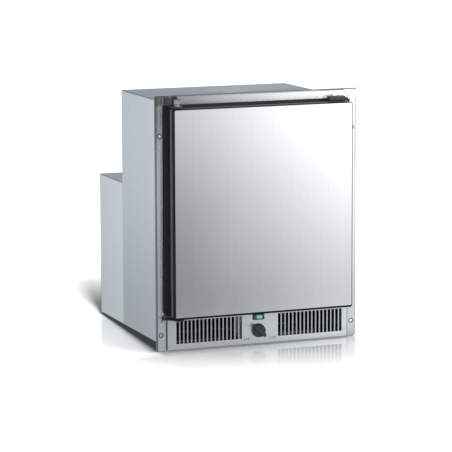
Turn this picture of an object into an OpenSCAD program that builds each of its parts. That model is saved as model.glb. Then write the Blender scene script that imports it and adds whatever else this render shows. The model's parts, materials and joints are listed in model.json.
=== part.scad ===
// Compact undercounter refrigerator for flush front mounting.
// Insulated body with a low machine compartment stepped out behind it,
// a stainless mounting flange, a thick hinged door and a vented front grille.
// Frame: X across the front (right is +), Y towards the back, Z up.
// Origin: middle of the width, on the base, in the flange's mounting plane.

/* [Cabinet] */
// Width of the insulated body
body_w = 354; // [348:1:366]
// Height of the insulated body
body_h = 475; // [468:1:482]
// Depth of the tall body behind the mounting plane
main_depth = 278; // [276:1:300]
// Depth to the back of the machine compartment
total_depth = 421; // [416:1:450]
// Height of the machine compartment
step_h = 289; // [284:1:310]
// Thickness of the outer steel sheet
sheet = 1; // [0.8:0.1:1.2]

/* [Front flange] */
// Width of the mounting flange
flange_w = 414; // [410:1:424]
// Height of the mounting flange
flange_h = 490; // [488:1:500]
// Depth of the folded flange tray
flange_d = 6; // [6:0.5:8]
// Radius of the mounting holes
mount_hole_r = 2.5; // [2:0.1:3]
// Inset of the mounting holes from the flange side
mount_inset = 8.5; // [8:0.5:9]
// Height of the lower mounting holes
mount_z_low = 31; // [25:1:40]
// Height of the upper mounting holes
mount_z_high = 414; // [400:1:430]

/* [Door] */
// Width of the door
door_w = 367; // [365:1:367]
// Offset of the door's middle from the cabinet's middle
door_x = -1; // [-1:0.5:-1]
// Height of the door's lower edge
door_z0 = 66.5; // [66.5:0.5:67]
// Height of the door's upper edge
door_z1 = 468; // [466:0.5:468]
// Distance from the flange's face to the door's front
door_t = 42; // [40:0.5:46]
// Radius of the hinge pins
pin_r = 3; // [2.5:0.1:3.5]

/* [Grille and controls] */
// Number of slots in each half of the grille
slot_n = 17; // [8:1:17]
// Width of one grille slot
slot_w = 5.4; // [3:0.1:5.8]
// Middle of the left group of slots
slot_left = -101.7; // [-102:0.1:-101]
// Middle of the right group of slots
slot_right = 108.6; // [108:0.1:108.8]
// Distance between slot centres
slot_pitch = 8.1; // [7:0.05:8.1]
// Diameter of the temperature knob
knob_d = 25; // [20:1:28]
// Angle of the knob's pointer below the horizontal, on the right
knob_angle = 45; // [0:1:90]
// Tilt of the power rocker
rocker_tilt = 7; // [0:1:8]

/* [Machine compartment] */
// Number of condenser fins
fin_n = 22; // [8:1:24]
// Number of fan blades
blade_n = 7; // [3:1:9]

/* [Hidden] */
$fn = 48;
gap = 0.1;                           // clearance between parts
half_body = body_w / 2;
half_flange = flange_w / 2;
half_door = door_w / 2;
flange_t = 1.5;                      // flange and front frame sheet
flange_y = -flange_d;                // flange face
frame_y = flange_y + flange_t;       // back of the flange sheet
body_y = frame_y + flange_t;         // front edge of the body
door_y = flange_y - door_t;          // door face
low_x = half_body - 1;               // lower window, half width
bar_z0 = 60.5;                       // cross bar under the door
bar_z1 = 68.5;
hinge_x = door_x - (half_door - 11.5);
hinge_y = door_y + 15;
low_leaf_z = door_z0 - 3.5;          // undersides of the hinge leaves
top_leaf_z = door_z1 + 2;
liner_x = 146.9;                     // liner outside, half width
liner_z0 = 98;
liner_z1 = 444;
liner_back = 244.9;
liner_r = 14;
grille_y = flange_y - 5;             // grille panel face
machine_y = (main_depth + total_depth) / 2;
shelf_z = [212, 322];
suction_x = 60;                      // pipe hole through the liner's back
suction_z = 262;
drain_x = -60;
drain_z = 232;
inlet_x = 112;                       // power inlet centre
inlet_z = 249.5;

// Fixing places, as [x, z]
mount_x = half_flange - mount_inset;
mount_points = [for (x = [-mount_x, mount_x], z = [mount_z_low, mount_z_high]) [x, z]];
top_hinge_points = [[-186, 477.6], [-186, 484.6]];
low_hinge_points = [[-193.7, 58.9], [-194.2, 71.6]];
keeper_points = [[184, 482.5], [197, 482.5]];
front_points = concat(top_hinge_points, low_hinge_points, keeper_points);
cover_points = [for (z = [12, 145, 278], x = [-168, 168]) [x, z]];
plate_points = [for (x = [-112, 112], z = [262, 427]) [x, z]];
screw_hole_r = 2;

// ---------- helpers ----------
// 2D rectangles, given by opposite corners
module rect(x0, z0, x1, z1) translate([x0, z0]) square([x1 - x0, z1 - z0]);
module round_rect(x0, z0, x1, z1, r) {
  rect(x0 + r, z0, x1 - r, z1);
  rect(x0, z0 + r, x1, z1 - r);
  for (x = [x0 + r, x1 - r], z = [z0 + r, z1 - r]) translate([x, z]) circle(r);
}
// rounded, symmetric about the middle of the width
module mid_rect(half_x, z0, z1, r) round_rect(-half_x, z0, half_x, z1, r);
// rounded, given by its centre
module centred_rect(x, z, half_w, half_h, r)
  round_rect(x - half_w, z - half_h, x + half_w, z + half_h, r);
// 2D shape in the XZ plane, swept from ya to yb
module slab(ya, yb) translate([0, yb, 0]) rotate([90, 0, 0]) linear_extrude(yb - ya) children();
// 2D shape in the YZ plane, swept from xa to xb
module slab_x(xa, xb) translate([xa, 0, 0]) rotate([90, 0, 90]) linear_extrude(xb - xa) children();
module box(low, high) translate(low) cube(high - low);
// box near the left (side -1) or right (side 1) wall, near and far from the middle
module side_box(side, near, far, y, z)
  box([side > 0 ? near : -far, y[0], z[0]], [side > 0 ? far : -near, y[1], z[1]]);
module cyl_x(y, z, r, xa, xb) translate([xa, y, z]) rotate([0, 90, 0]) cylinder(r = r, h = xb - xa);
module cyl_y(x, z, r, ya, yb) translate([x, yb, z]) rotate([90, 0, 0]) cylinder(r = r, h = yb - ya);
module cyl_z(x, y, r, za, zb) translate([x, y, za]) cylinder(r = r, h = zb - za);
// cylinders along Y at each [x, z]
module cyls_y(points, r, ya, yb) for (p = points) cyl_y(p[0], p[1], r, ya, yb);
// straight bar between two points
module rod(from, to, r) {
  span = to - from;
  length = norm(span);
  translate(from) rotate([0, acos(span[2] / length), atan2(span[1], span[0])])
    cylinder(r = r, h = length);
}
// pipe through a list of points, with a brazed ball joint at each bend
module pipe(points, r) {
  for (i = [0:len(points) - 2]) rod(points[i], points[i + 1], r);
  for (i = [1:1:len(points) - 2]) translate(points[i]) sphere(r * 1.18);
}
// cross-slotted pan head screws, heads towards -Y, resting on plane y
module screws(points, y, head_r = 3.6, head_h = 2.2) {
  length = 9;
  shank_r = 1.95;
  for (p = points) difference() {
    translate([p[0], y, p[1]]) rotate([90, 0, 0]) rotate_extrude()
      polygon([[0, -length], [shank_r, -length], [shank_r, 0], [head_r, 0],
        [head_r, head_h * 0.45], [head_r * 0.8, head_h * 0.85],
        [head_r * 0.45, head_h], [0, head_h]]);
    for (a = [45, 135]) translate([p[0], y - head_h, p[1]]) rotate([0, a, 0])
      cube([head_r * 1.1, 1.6, 0.8], center = true);
  }
}

// ---------- cabinet ----------
// sheet section of two sides and a top, open below
module sleeve(half_x, top) difference() {
  union() {
    mid_rect(half_x, top / 2, top, 1.6);
    rect(-half_x, 0, half_x, top - 4);
  }
  union() {
    mid_rect(half_x - sheet, top / 2, top - sheet, 0.6);
    rect(-half_x + sheet, -1, half_x - sheet, top - 5);
  }
}
module lower_window() rect(-low_x, 8, low_x, bar_z0);
module liner_outline(grow, r) mid_rect(liner_x + grow, liner_z0 - grow, liner_z1 + grow, r);

machine_x = half_body - 0.4; // machine housing, half width

module cabinet_wrap() color([0.74, 0.76, 0.79])
  slab(body_y, main_depth) sleeve(half_body, body_h);
module front_frame() color([0.08, 0.09, 0.09]) difference() {
  inset = flange_t + 0.2;
  slab(frame_y, body_y) difference() {
    mid_rect(half_flange - inset, inset, flange_h - inset, 2);
    liner_outline(gap, liner_r);
    lower_window();
  }
  cyls_y(mount_points, 3.4, frame_y - 1, frame_y + 3);
  cyls_y(front_points, screw_hole_r, frame_y - 1, frame_y + 3);
}
module mounting_flange() color([0.80, 0.81, 0.82]) difference() {
  union() {
    slab(flange_y, frame_y) difference() {
      mid_rect(half_flange, 0, flange_h, 3);
      mid_rect(half_flange - 14, bar_z1, flange_h - 17.5, 4);
      lower_window();
    }
    // folded edge, open under the body
    slab(frame_y, 0) difference() {
      mid_rect(half_flange, 0, flange_h, 3);
      mid_rect(half_flange - flange_t, flange_t, flange_h - flange_t, 2);
      rect(-half_body - 0.3, -1, half_body + 0.3, 3);
    }
  }
  cyls_y(mount_points, mount_hole_r, flange_y - 1, 1);
  // countersinks
  for (p = mount_points) translate([p[0], flange_y + 0.8, p[1]]) rotate([90, 0, 0])
    cylinder(r1 = mount_hole_r, r2 = mount_hole_r + 3, h = 1.6);
  cyls_y(front_points, screw_hole_r, flange_y - 1, 1);
}
module upper_back_panel() color([0.66, 0.68, 0.70]) union() {
  panel_x = half_body - sheet - gap;
  slab(main_depth - sheet, main_depth)
    rect(-panel_x, step_h + 0.2, panel_x, body_h - sheet - 2.8);
  // raised upright ribs
  for (x = [-110, 0, 110]) slab(main_depth - 0.2, main_depth + 1.2)
    round_rect(x - 20, step_h + 24, x + 20, body_h - 24, 5);
}
module machine_housing() color([0.76, 0.78, 0.80]) union() {
  slab(main_depth + gap, total_depth - 1.4) sleeve(machine_x, step_h);
}
module machine_back_cover() color([0.70, 0.72, 0.74]) difference() {
  skin_y = total_depth - 1.3;
  rim_y = total_depth - 12;
  union() {
    slab(skin_y, total_depth) mid_rect(machine_x, 1.7, step_h, 1.6);
    // folded rim
    slab(rim_y, skin_y) difference() {
      mid_rect(half_body - 1.6, 1.9, step_h - 1.4, 1);
      rect(-half_body + 2.8, 3.1, half_body - 2.8, step_h - 2.6);
    }
    // screw blocks
    for (p = cover_points) slab(rim_y, skin_y) rect(p[0] - 5, p[1] - 5, p[0] + 5, p[1] + 5);
  }
  // louvre slots in a left and a right bank
  for (i = [0:11], x = [[-150, -32], [30, 150]])
    slab(total_depth - 3, total_depth + 1) rect(x[0], 46 + i * 15, x[1], 52 + i * 15);
  // power inlet opening
  slab(total_depth - 3, total_depth + 1) translate([inlet_x - 14, inlet_z - 10.5]) square([28, 21]);
  cyls_y(cover_points, screw_hole_r, total_depth - 14, total_depth + 1);
}
module back_cover_screws() color([0.75, 0.75, 0.76])
  translate([0, 2 * total_depth, 0]) mirror([0, 1, 0]) screws(cover_points, total_depth);
module base_pan() color([0.60, 0.62, 0.64]) difference() {
  inner_x = half_body - sheet;
  union() {
    box([-inner_x + gap, body_y + gap, 0], [inner_x - gap, main_depth, 1.5]);
    box([-half_body + 1.6, main_depth - 1, 0], [half_body - 1.6, total_depth - 1.4, 1.5]);
    for (side = [-1, 1])
      side_box(side, inner_x - 1.3, inner_x - gap, [4, main_depth - 4], [0, 22]);
    // stiffening ribs
    for (y = [60, 150, 240]) box([-150, y, 1], [150, y + 16, 3.5]);
  }
  at_feet() cyl_z(0, 0, 2.6, -1, 3);
}
module duct_deck() color([0.62, 0.64, 0.66]) union() {
  deck_x = half_body - sheet - gap;
  box([-deck_x, body_y + gap, 72.2], [deck_x, main_depth - 0.2, 73.4]);
  for (y = [40, 120, 200]) box([-160, y, 70.4], [160, y + 14, 72.4]);
}
module air_divider() color([0.62, 0.64, 0.66]) union() {
  box([-0.6, 52, 3.6], [0.6, main_depth - 2, 70.2]);
  for (y = [52, main_depth - 14]) box([-10, y, 3.6], [10, y + 12, 4.8]);
}
module insulation_foam() color([0.93, 0.86, 0.62]) difference() {
  foam_x = half_body - sheet - 0.2;
  box([-foam_x, body_y + 0.2, 73.5], [foam_x, main_depth - sheet - 0.2, body_h - sheet - 3.2]);
  slab(-20, liner_back + gap) liner_outline(gap, liner_r + gap);
  // pipe chase and drain hole, back into the machine compartment
  cyl_y(suction_x, suction_z, 9, 240, main_depth + 5);
  cyl_y(drain_x, drain_z, 5.3, 240, main_depth + 5);
}
module inner_liner() color([0.95, 0.95, 0.94]) difference() {
  wall = 2;
  union() {
    difference() {
      slab(body_y + gap, liner_back) liner_outline(0, liner_r);
      slab(-20, liner_back - wall) liner_outline(-wall, liner_r - wall);
    }
    // shelf rails on both side walls, below and above each shelf
    for (z = shelf_z, side = [-1, 1]) {
      side_box(side, liner_x - 14.5, liner_x - 1, [66, 226], [z - 6, z - 2.65]);
      side_box(side, liner_x - 8, liner_x - 1, [66, 226], [z + 5, z + 8]);
    }
  }
  cyl_y(suction_x, suction_z, 8.8, 240, 250);
  cyl_y(drain_x, drain_z, 5.2, 240, 250);
}
module wire_shelf(z) {
  half_x = 135;
  front = 78;
  back = 218;
  rim_r = 2.2;
  stop_z = z + 14;
  corners = [[-half_x, front, z], [half_x, front, z], [half_x, back, z], [-half_x, back, z]];
  for (i = [0:3]) {
    rod(corners[i], corners[(i + 1) % 4], rim_r);
    translate(corners[i]) sphere(rim_r * 1.15);
  }
  for (y = [124, 171]) rod([-half_x, y, z], [half_x, y, z], rim_r);
  for (i = [-7:7]) rod([i * 17.4, front - 1, z + 2.4], [i * 17.4, back + 1, z + 2.4], 1.4);
  // raised stop bar along the back
  for (x = [-half_x, half_x]) {
    rod([x, back, z], [x, back, stop_z], rim_r);
    translate([x, back, stop_z]) sphere(rim_r * 1.15);
  }
  rod([-half_x, back, stop_z], [half_x, back, stop_z], rim_r);
}
module shelf_upper() color([0.90, 0.91, 0.92]) wire_shelf(shelf_z[1]);
module shelf_lower() color([0.90, 0.91, 0.92]) wire_shelf(shelf_z[0]);
module evaporator_plate() color([0.80, 0.82, 0.84]) difference() {
  pitch = 21;
  union() {
    slab(231, 232.6) mid_rect(118, 256, 432, 8);
    // raised serpentine channel: long runs, joined at alternate ends
    for (i = [0:7]) slab(229.4, 231.2) mid_rect(106, 266 + i * pitch, 273 + i * pitch, 3);
    for (i = [0:6]) slab(229.4, 231.2)
      translate([i % 2 == 0 ? 98 : -105.5, 272 + i * pitch]) square([7.5, 16]);
  }
  cyls_y(plate_points, 2.1, 225, 240);
}
module evaporator_standoffs() color([0.96, 0.96, 0.95]) union() {
  // [radius, front y, back y]
  for (s = [[5, 232.7, 242.8], [2, 229, 233], [4.2, 227.4, 229.3], [2, 229.2, 233.5]])
    cyls_y(plate_points, s[0], s[1], s[2]);
}
// trough section, as [y, z]
trough_section = [[216, 250], [216, 238], [222, 232.5], [242.8, 225.5], [242.8, 250],
  [240.8, 250], [240.8, 229.5], [223, 235], [218, 240], [218, 250]];
module drip_trough() color([0.94, 0.94, 0.93]) difference() {
  slab_x(-122, 122) polygon(trough_section);
  cyl_y(drain_x, drain_z, 3.9, 226, 250);
}
module drain_tube() color([0.92, 0.93, 0.93]) difference() {
  cyl_y(drain_x, drain_z, 5, 243, main_depth + 16);
  cyl_y(drain_x, drain_z, 3.8, 240, main_depth + 20);
}
lamp_y = 46;
lamp_z = 400;
module lamp_base() color([0.93, 0.93, 0.92]) difference() {
  slab_x(137, liner_x - 2.1) centred_rect(lamp_y, lamp_z, 16, 28, 5);
  slab_x(136, 143) centred_rect(lamp_y, lamp_z, 13, 25, 3);
}
module lamp_lens() color([0.97, 0.97, 0.92])
  slab_x(134.5, 142.8) centred_rect(lamp_y, lamp_z, 12.8, 24.8, 2.8);

// ---------- grille and controls ----------
grille_x = 187.5;            // panel half width
grille_z0 = 2;
grille_z1 = 62;
grille_t = 1.2;
knob_z = 27;
switch_z = 53.5;

module grille_outline(inset, r)
  mid_rect(grille_x - inset, grille_z0 + inset, grille_z1 - inset, r);
module grille_panel() color([0.82, 0.83, 0.84]) difference() {
  union() {
    slab(grille_y, grille_y + grille_t) grille_outline(0, 1.2);
    slab(grille_y + 1.1, flange_y - gap) difference() {
      grille_outline(0, 1.2);
      grille_outline(grille_t, 0.6);
    }
  }
  for (middle = [slot_left, slot_right], i = [0:slot_n - 1]) slab(grille_y - 1, grille_y + 2)
    translate([middle + (i - (slot_n - 1) / 2) * slot_pitch - slot_w / 2, 12.6])
      square([slot_w, 45]);
  cyl_y(0, knob_z, 4.2, grille_y - 1, grille_y + 2);
  slab(grille_y - 1, grille_y + 2) rect(-10.7, switch_z - 4.95, 10.7, switch_z + 4.95);
}
module grille_clips() color([0.25, 0.26, 0.27]) for (side = [-1, 1], z = [12, 46]) union() {
  clip_x = grille_x - grille_t - gap;
  side_box(side, clip_x - 12.2, clip_x, [flange_y - 1.9, flange_y - gap], [z, z + 8]);
  side_box(side, clip_x - 2, clip_x, [flange_y - 3.6, flange_y - 1.8], [z, z + 8]);
}
module control_box() color([0.88, 0.88, 0.87]) difference() {
  box([-28, grille_y + 1.3, 8.6], [28, 50, 60.3]);
  box([-26, grille_y + 1.2, 10.6], [26, 48, 58.6]);
  cyl_y(20, 52, 3.4, 44, 52);
}
module thermostat_body() color([0.72, 0.73, 0.72]) difference() {
  union() {
    box([-17, grille_y + 5, 11.2], [17, 28, 42.4]);
    cyl_y(0, knob_z, 5.5, grille_y + 1.3, grille_y + 5.1);
    // terminal tabs
    for (x = [-10, 0, 10]) box([x - 1.6, 27.9, 16], [x + 1.6, 36, 17]);
  }
  cyl_y(0, knob_z, 3.1, grille_y - 1, 14);
}
module thermostat_shaft() color([0.75, 0.75, 0.76]) difference() {
  cyl_y(0, knob_z, 3.03, grille_y - 8, 13.5);
  // flat on top
  box([-5, grille_y - 9, knob_z + 1.8], [5, grille_y - 2, knob_z + 5]);
}
module temperature_knob() color([0.12, 0.13, 0.14])
  translate([0, 0, knob_z]) rotate([0, knob_angle, 0]) difference() {
    knob_r = knob_d / 2;
    nose_x = knob_r + 2;
    grip_z = 3.6;
    union() {
      translate([0, grille_y - 0.5, 0]) rotate([90, 0, 0]) rotate_extrude()
        polygon([[0, 0], [knob_r + 0.9, 0], [knob_r + 0.9, 1.6], [knob_r, 2.4],
          [knob_r - 0.6, 8.6], [knob_r - 1.6, 10], [0, 10]]);
      // grip bar, its nose standing just outside the skirt
      slab(grille_y - 14.5, grille_y - 1) difference() {
        rect(-knob_r - 1.4, -grip_z, nose_x, grip_z);
        for (z = [-grip_z, grip_z]) translate([nose_x, z]) circle(2.2, $fn = 24);
      }
    }
    // shaft bore with a flat
    rotate([0, -knob_angle, 0]) difference() {
      cyl_y(0, 0, 3.08, grille_y - 9, grille_y + 1);
      box([-5, grille_y - 10, 1.85], [5, grille_y - 2.1, 5]);
    }
    // pointer groove
    slab(grille_y - 16, grille_y - 14) rect(4, -0.6, nose_x, 0.6);
  }
rocker_y = grille_y + 1.6;   // rocker pivot
module switch_housing() color([0.07, 0.08, 0.08]) difference() {
  union() {
    slab(grille_y - 1.8, grille_y - gap / 10) centred_rect(0, switch_z, 11.8, 5.4, 1.4);
    box([-10.5, grille_y - 0.2, switch_z - 4.8], [10.5, grille_y + 16, switch_z + 4.8]);
    // terminal tabs
    for (x = [-7, 0, 7])
      box([x - 2.4, grille_y + 15.9, switch_z - 0.4], [x + 2.4, grille_y + 24, switch_z + 0.4]);
  }
  box([-9.9, grille_y - 3, switch_z - 4], [9.9, grille_y + 8, switch_z + 4]);
  cyl_z(0, rocker_y, 1.2, switch_z - 4.6, switch_z + 4.6);
}
// rocker outline, as [x, y] from its pivot
rocker_outline = [[-9.4, -4.6], [-4.5, -3.7], [0, -3.3], [4.5, -3.7], [9.4, -4.6],
  [9.4, -0.5], [6, 2.2], [2, 3.4], [-2, 3.4], [-6, 2.2], [-9.4, -0.5]];
module switch_rocker() color([0.10, 0.62, 0.42])
  translate([0, rocker_y, switch_z]) rotate([0, 0, -rocker_tilt]) union() {
    translate([0, 0, -3.75]) linear_extrude(7.5) polygon(rocker_outline);
    translate([0, 0, -4.4]) cylinder(r = 1.15, h = 8.8);
  }
module wiring_loom() color([0.10, 0.10, 0.11])
  pipe([[20, 40, 52], [20, 296, 52], [20, 296, 216], [inlet_x, 296, 216],
    [inlet_x, 296, 250], [inlet_x, 406.5, 250]], 3);

// ---------- hinges and latch keeper ----------
eye_r = 11;                  // round end of a hinge leaf
leaf_y = flange_y - 2;       // face of the hinge plates
keeper_y = flange_y - 1.6;   // face of the keeper plate
bolt_y = -18;                // latch bolt axis
bolt_z = 473.2;

module top_hinge_bracket() color([0.78, 0.79, 0.80]) difference() {
  leaf_end = top_leaf_z + 2.4;
  union() {
    box([-192, leaf_y, top_leaf_z], [-163.5, flange_y, 488.5]);
    box([-184, hinge_y, top_leaf_z], [hinge_x + eye_r, flange_y, leaf_end]);
    cyl_z(hinge_x, hinge_y, eye_r, top_leaf_z, leaf_end);
    box([-175, flange_y - 16, 475], [-163.5, flange_y - 1.9, 485]);
  }
  cyl_z(hinge_x, hinge_y, pin_r, 460, 480);
  cyls_y(top_hinge_points, screw_hole_r, flange_y - 3, flange_y + 1);
}
module bottom_hinge_bracket() color([0.78, 0.79, 0.80]) difference() {
  union() {
    slab(leaf_y, flange_y) polygon([[-198.5, 54.8], [-188.5, 54.8], [-188.5, low_leaf_z - 0.6],
      [-185, low_leaf_z - 0.6], [-185, 66.5], [-196, 79], [-198.5, 79]]);
    translate([0, 0, low_leaf_z]) linear_extrude(2) polygon([[-198, flange_y - 0.1],
      [-168, flange_y - 0.1], [hinge_x + eye_r, hinge_y + 4], [hinge_x + eye_r, hinge_y],
      [hinge_x - eye_r, hinge_y], [-198, flange_y - 12]]);
    cyl_z(hinge_x, hinge_y, eye_r, low_leaf_z, low_leaf_z + 2);
  }
  cyl_z(hinge_x, hinge_y, pin_r, 50, 80);
  cyls_y(low_hinge_points, screw_hole_r, flange_y - 3, flange_y + 1);
}
module top_hinge_cover() color([0.13, 0.14, 0.15]) difference() {
  union() {
    slab(-26, flange_y - 2.1) round_rect(-192, door_z1 + 4.8, -180, 489.2, 3);
    slab(-28, -25.9) round_rect(-190.2, door_z1 + 6.4, -181.8, 487.4, 2);
  }
  slab(-23.5, flange_y) round_rect(-190.2, door_z1 + 6.2, -181.4, 487.6, 1.8);
}
module hinge_pins() color([0.70, 0.71, 0.72]) {
  union() {
    cyl_z(hinge_x, hinge_y, pin_r - 0.02, door_z1 - 11.5, top_leaf_z + 3);
    cyl_z(hinge_x, hinge_y, pin_r + 2.2, top_leaf_z + 2.45, top_leaf_z + 4.4);
  }
  union() {
    cyl_z(hinge_x, hinge_y, pin_r - 0.02, low_leaf_z - 0.4, door_z0 + 11.5);
    cyl_z(hinge_x, hinge_y, pin_r + 1.8, low_leaf_z - 1.9, low_leaf_z - 0.05);
  }
}
module hinge_screws() color([0.75, 0.76, 0.77]) {
  screws(top_hinge_points, leaf_y, head_r = 2.8, head_h = 1.7);
  screws(low_hinge_points, leaf_y, head_r = 3.2, head_h = 1.7);
}
module thrust_washers() color([0.90, 0.90, 0.88])
  for (z = [[door_z1 + 0.1, top_leaf_z - 0.05], [low_leaf_z + 2.05, door_z0 - 0.1]])
    difference() {
      cyl_z(hinge_x, hinge_y, 7.5, z[0], z[1]);
      cyl_z(hinge_x, hinge_y, pin_r + 0.1, z[0] - 1, z[1] + 1);
    }
module latch_keeper() color([0.78, 0.79, 0.80]) difference() {
  union() {
    box([179.5, keeper_y, 476], [202.5, flange_y, 489]);
    box([186.6, keeper_y, 469], [188.6, flange_y, 489]);
    // forward tongue with the bolt hole
    slab_x(186.6, 188.6) union() {
      rect(bolt_y, bolt_z - 4.2, flange_y - 0.1, bolt_z + 6.8);
      for (z = [bolt_z, bolt_z + 1.2]) translate([bolt_y, z]) circle(6.4);
    }
  }
  cyl_x(bolt_y, bolt_z, 3.5, 180, 195);
  cyls_y(keeper_points, screw_hole_r, flange_y - 3, flange_y + 1);
}
module keeper_screws() color([0.75, 0.76, 0.77])
  screws(keeper_points, keeper_y, head_r = 2.4, head_h = 1.6);

// ---------- door ----------
core_inset = 3.8;            // foam and liner, in from the door's edge
liner_y = door_y + 29;       // front of the door liner

// 2D shape about the door's middle, swept from ya to yb
module door_slab(ya, yb) translate([door_x, 0, 0]) slab(ya, yb) children();
module ring(ya, yb, half_x, z0, z1, width, r, inner_r) door_slab(ya, yb) difference() {
  mid_rect(half_x, z0, z1, r);
  mid_rect(half_x - width, z0 + width, z1 - width, inner_r);
}
module core_slab(ya, yb) door_slab(ya, yb)
  mid_rect(half_door - core_inset, door_z0 + core_inset, door_z1 - core_inset, 1.2);
// hinge pockets of the given depth in the door's top and bottom
module hinge_pockets(depth)
  for (z = [[door_z1 - depth, door_z1 + 1], [door_z0 - 1, door_z0 + depth]])
    cyl_z(hinge_x, hinge_y, 5.6, z[0], z[1]);

module door_front_panel() color([0.80, 0.82, 0.83])
  door_slab(door_y, door_y + 1) mid_rect(half_door - 1.6, door_z0 + 4, door_z1 - 1.6, 2);
// trim rings, as [start and end behind the door face, inset, width, outer r, inner r]
trim_rings = [[0.3, 12, 0, 1.5, 3, 2.05], [1.1, 3, 0.2, 9, 3, 3], [11.9, 16.2, 2.2, 1.4, 2, 1],
  [2.9, 31, 1.4, 2.2, 2.4, 1], [16, 25, 0.4, 2, 3, 2]];
module door_trim_frame() color([0.09, 0.10, 0.11]) difference() {
  union() {
    for (t = trim_rings) ring(door_y + t[0], door_y + t[1],
      half_door - t[2], door_z0 + t[2], door_z1 - t[2], t[3], t[4], t[5]);
    // deeper lip along the lower edge
    translate([door_x, 0, 0]) box([-half_door + 1.4, door_y + 0.3, door_z0 + 1.4],
      [half_door - 1.4, door_y + 3, door_z0 + 3.9]);
  }
  hinge_pockets(14);
  // latch peg holes
  for (x = [152, 170]) cyl_z(x, bolt_y - 6, 1.4, door_z1 - 5, door_z1 + 1);
}
module door_foam() color([0.93, 0.86, 0.62]) difference() {
  core_slab(door_y + 3.1, liner_y - gap);
  hinge_pockets(18);
}
module door_liner() color([0.95, 0.95, 0.94]) union() {
  core_slab(liner_y, liner_y + 2);
  ring(liner_y + 1.9, 10, 138, 110, 434, 12, 10, 6);
  // shelf pads inside the raised rim
  translate([door_x, 0, 0]) for (side = [-1, 1], z = [150, 330])
    side_box(side, 124.2, 126.2, [-17.1, 8], [z - 22, z + 22]);
}
module door_gasket() color([0.11, 0.11, 0.12]) union() {
  ring(door_y + 31.1, door_y + 34, 171.5, 82, 459, 13.5, 8, 4);
  ring(door_y + 33.9, door_y + 37.2, 169, 84.5, 456.5, 8, 6, 4);
  ring(door_y + 37.1, frame_y - gap, 171.5, 82, 459, 12.5, 8, 4);
}
// open-topped bin with slots through its back wall
module door_bin(z0, z1, back) translate([door_x, 0, 0]) difference() {
  wall = 2.4;
  half_x = 123.8;
  front = -16.8;
  box([-half_x, front, z0], [half_x, back, z1]);
  box([-half_x + wall, front + wall, z0 + wall], [half_x - wall, back - wall, z1 + 1]);
  for (i = [-6:6]) box([i * 17 - 5, back - 4, z0 + 12], [i * 17 + 5, back + 1, z1 - 9]);
}
module door_shelf_upper() color([0.90, 0.93, 0.95]) door_bin(318, 352, 38);
module door_shelf_lower() color([0.90, 0.93, 0.95]) door_bin(138, 190, 54);
module hinge_bushes() color([0.90, 0.90, 0.88]) for (z = [door_z1 - 13, door_z0]) difference() {
  cyl_z(hinge_x, hinge_y, 5.5, z, z + 13);
  cyl_z(hinge_x, hinge_y, pin_r + 0.03, z - 1, z + 14);
}
module latch_housing() color([0.10, 0.11, 0.12]) difference() {
  union() {
    slab_x(144, 175.5) round_rect(-27, door_z1 + 0.05, -10.5, door_z1 + 9.8, 2.4);
    // pegs into the door trim
    for (x = [152, 170]) cyl_z(x, bolt_y - 6, 1.35, door_z1 - 3.5, door_z1 + 1);
  }
  cyl_x(bolt_y, bolt_z, 3.25, 146.5, 180);
  // stem slot, then spring pocket
  box([150, bolt_y - 2.2, bolt_z], [172.5, bolt_y + 2.2, 490]);
  box([147, bolt_y + 2.9, bolt_z - 2.6], [171, bolt_y + 4.8, bolt_z + 2.6]);
}
module latch_bolt() color([0.62, 0.63, 0.65]) union() {
  cyl_x(bolt_y, bolt_z, 3, 147.5, 176.5);
  translate([176.5, bolt_y, bolt_z]) rotate([0, 90, 0]) cylinder(r1 = 3, r2 = 2, h = 1.6);
  // upright stem and its flat head
  box([151, bolt_y - 1.9, bolt_z], [159, bolt_y + 1.9, door_z1 + 11.4]);
  box([150.4, bolt_y - 4.5, door_z1 + 10.2], [159.6, bolt_y + 4.5, door_z1 + 12.2]);
}
module latch_spring() color([0.72, 0.73, 0.75])
  box([148, bolt_y + 3.4, bolt_z - 2.2], [170, bolt_y + 3.9, bolt_z + 2.2]);

// ---------- machine compartment ----------
comp_x = 78;                 // compressor axis
fan_x = -96;
fan_z = 120;
drier_x = -30;
drier_y = 392;
coil_x = -140;               // condenser centre
coil_front = 294;
coil_back = 406;
// condenser tubes, as [x, z]
tube_points = [for (i = [0:5]) [coil_x + (i % 2 == 0 ? -9 : 9), 66 + i * 22]];

module at_compressor() translate([comp_x, machine_y, 0]) children();
module at_feet() for (x = [-62, 62], y = [-46, 46])
  translate([comp_x + x, machine_y + y, 0]) children();
module at_fan() translate([fan_x, machine_y, fan_z]) children();

// half section, as [radius, height]
shell_profile = [[0, 0], [34, 0], [46, 4], [54, 12], [58, 24], [58, 66], [60.5, 66], [60.5, 72],
  [58, 72], [58, 100], [56, 112], [51, 124], [43, 134], [32, 141], [18, 145], [0, 146]];
module compressor_shell() color([0.06, 0.06, 0.07]) at_compressor() union() {
  translate([0, 0, 24]) rotate_extrude($fn = 96) polygon(shell_profile);
  // pipe stubs
  cyl_z(-30, 22, 4.2, 150, 176);
  cyl_z(-30, -22, 3.4, 150, 172);
  cyl_z(30, 22, 3.2, 150, 180);
}
module compressor_base() color([0.07, 0.07, 0.08]) difference() {
  at_compressor() union() {
    box([-74, -56, 18], [74, -36, 20.5]);
    box([-74, 36, 18], [74, 56, 20.5]);
    box([-40, -37, 18], [40, 37, 23.9]);
  }
  at_feet() cyl_z(0, 0, 6, 15, 25);
}
module compressor_grommets() color([0.16, 0.16, 0.16]) at_feet() difference() {
  union() {
    cyl_z(0, 0, 9, 1.6, 17.9);
    cyl_z(0, 0, 5.9, 17.8, 20.7);
    cyl_z(0, 0, 9, 20.6, 24);
  }
  cyl_z(0, 0, 2.7, 0, 30);
}
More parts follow.
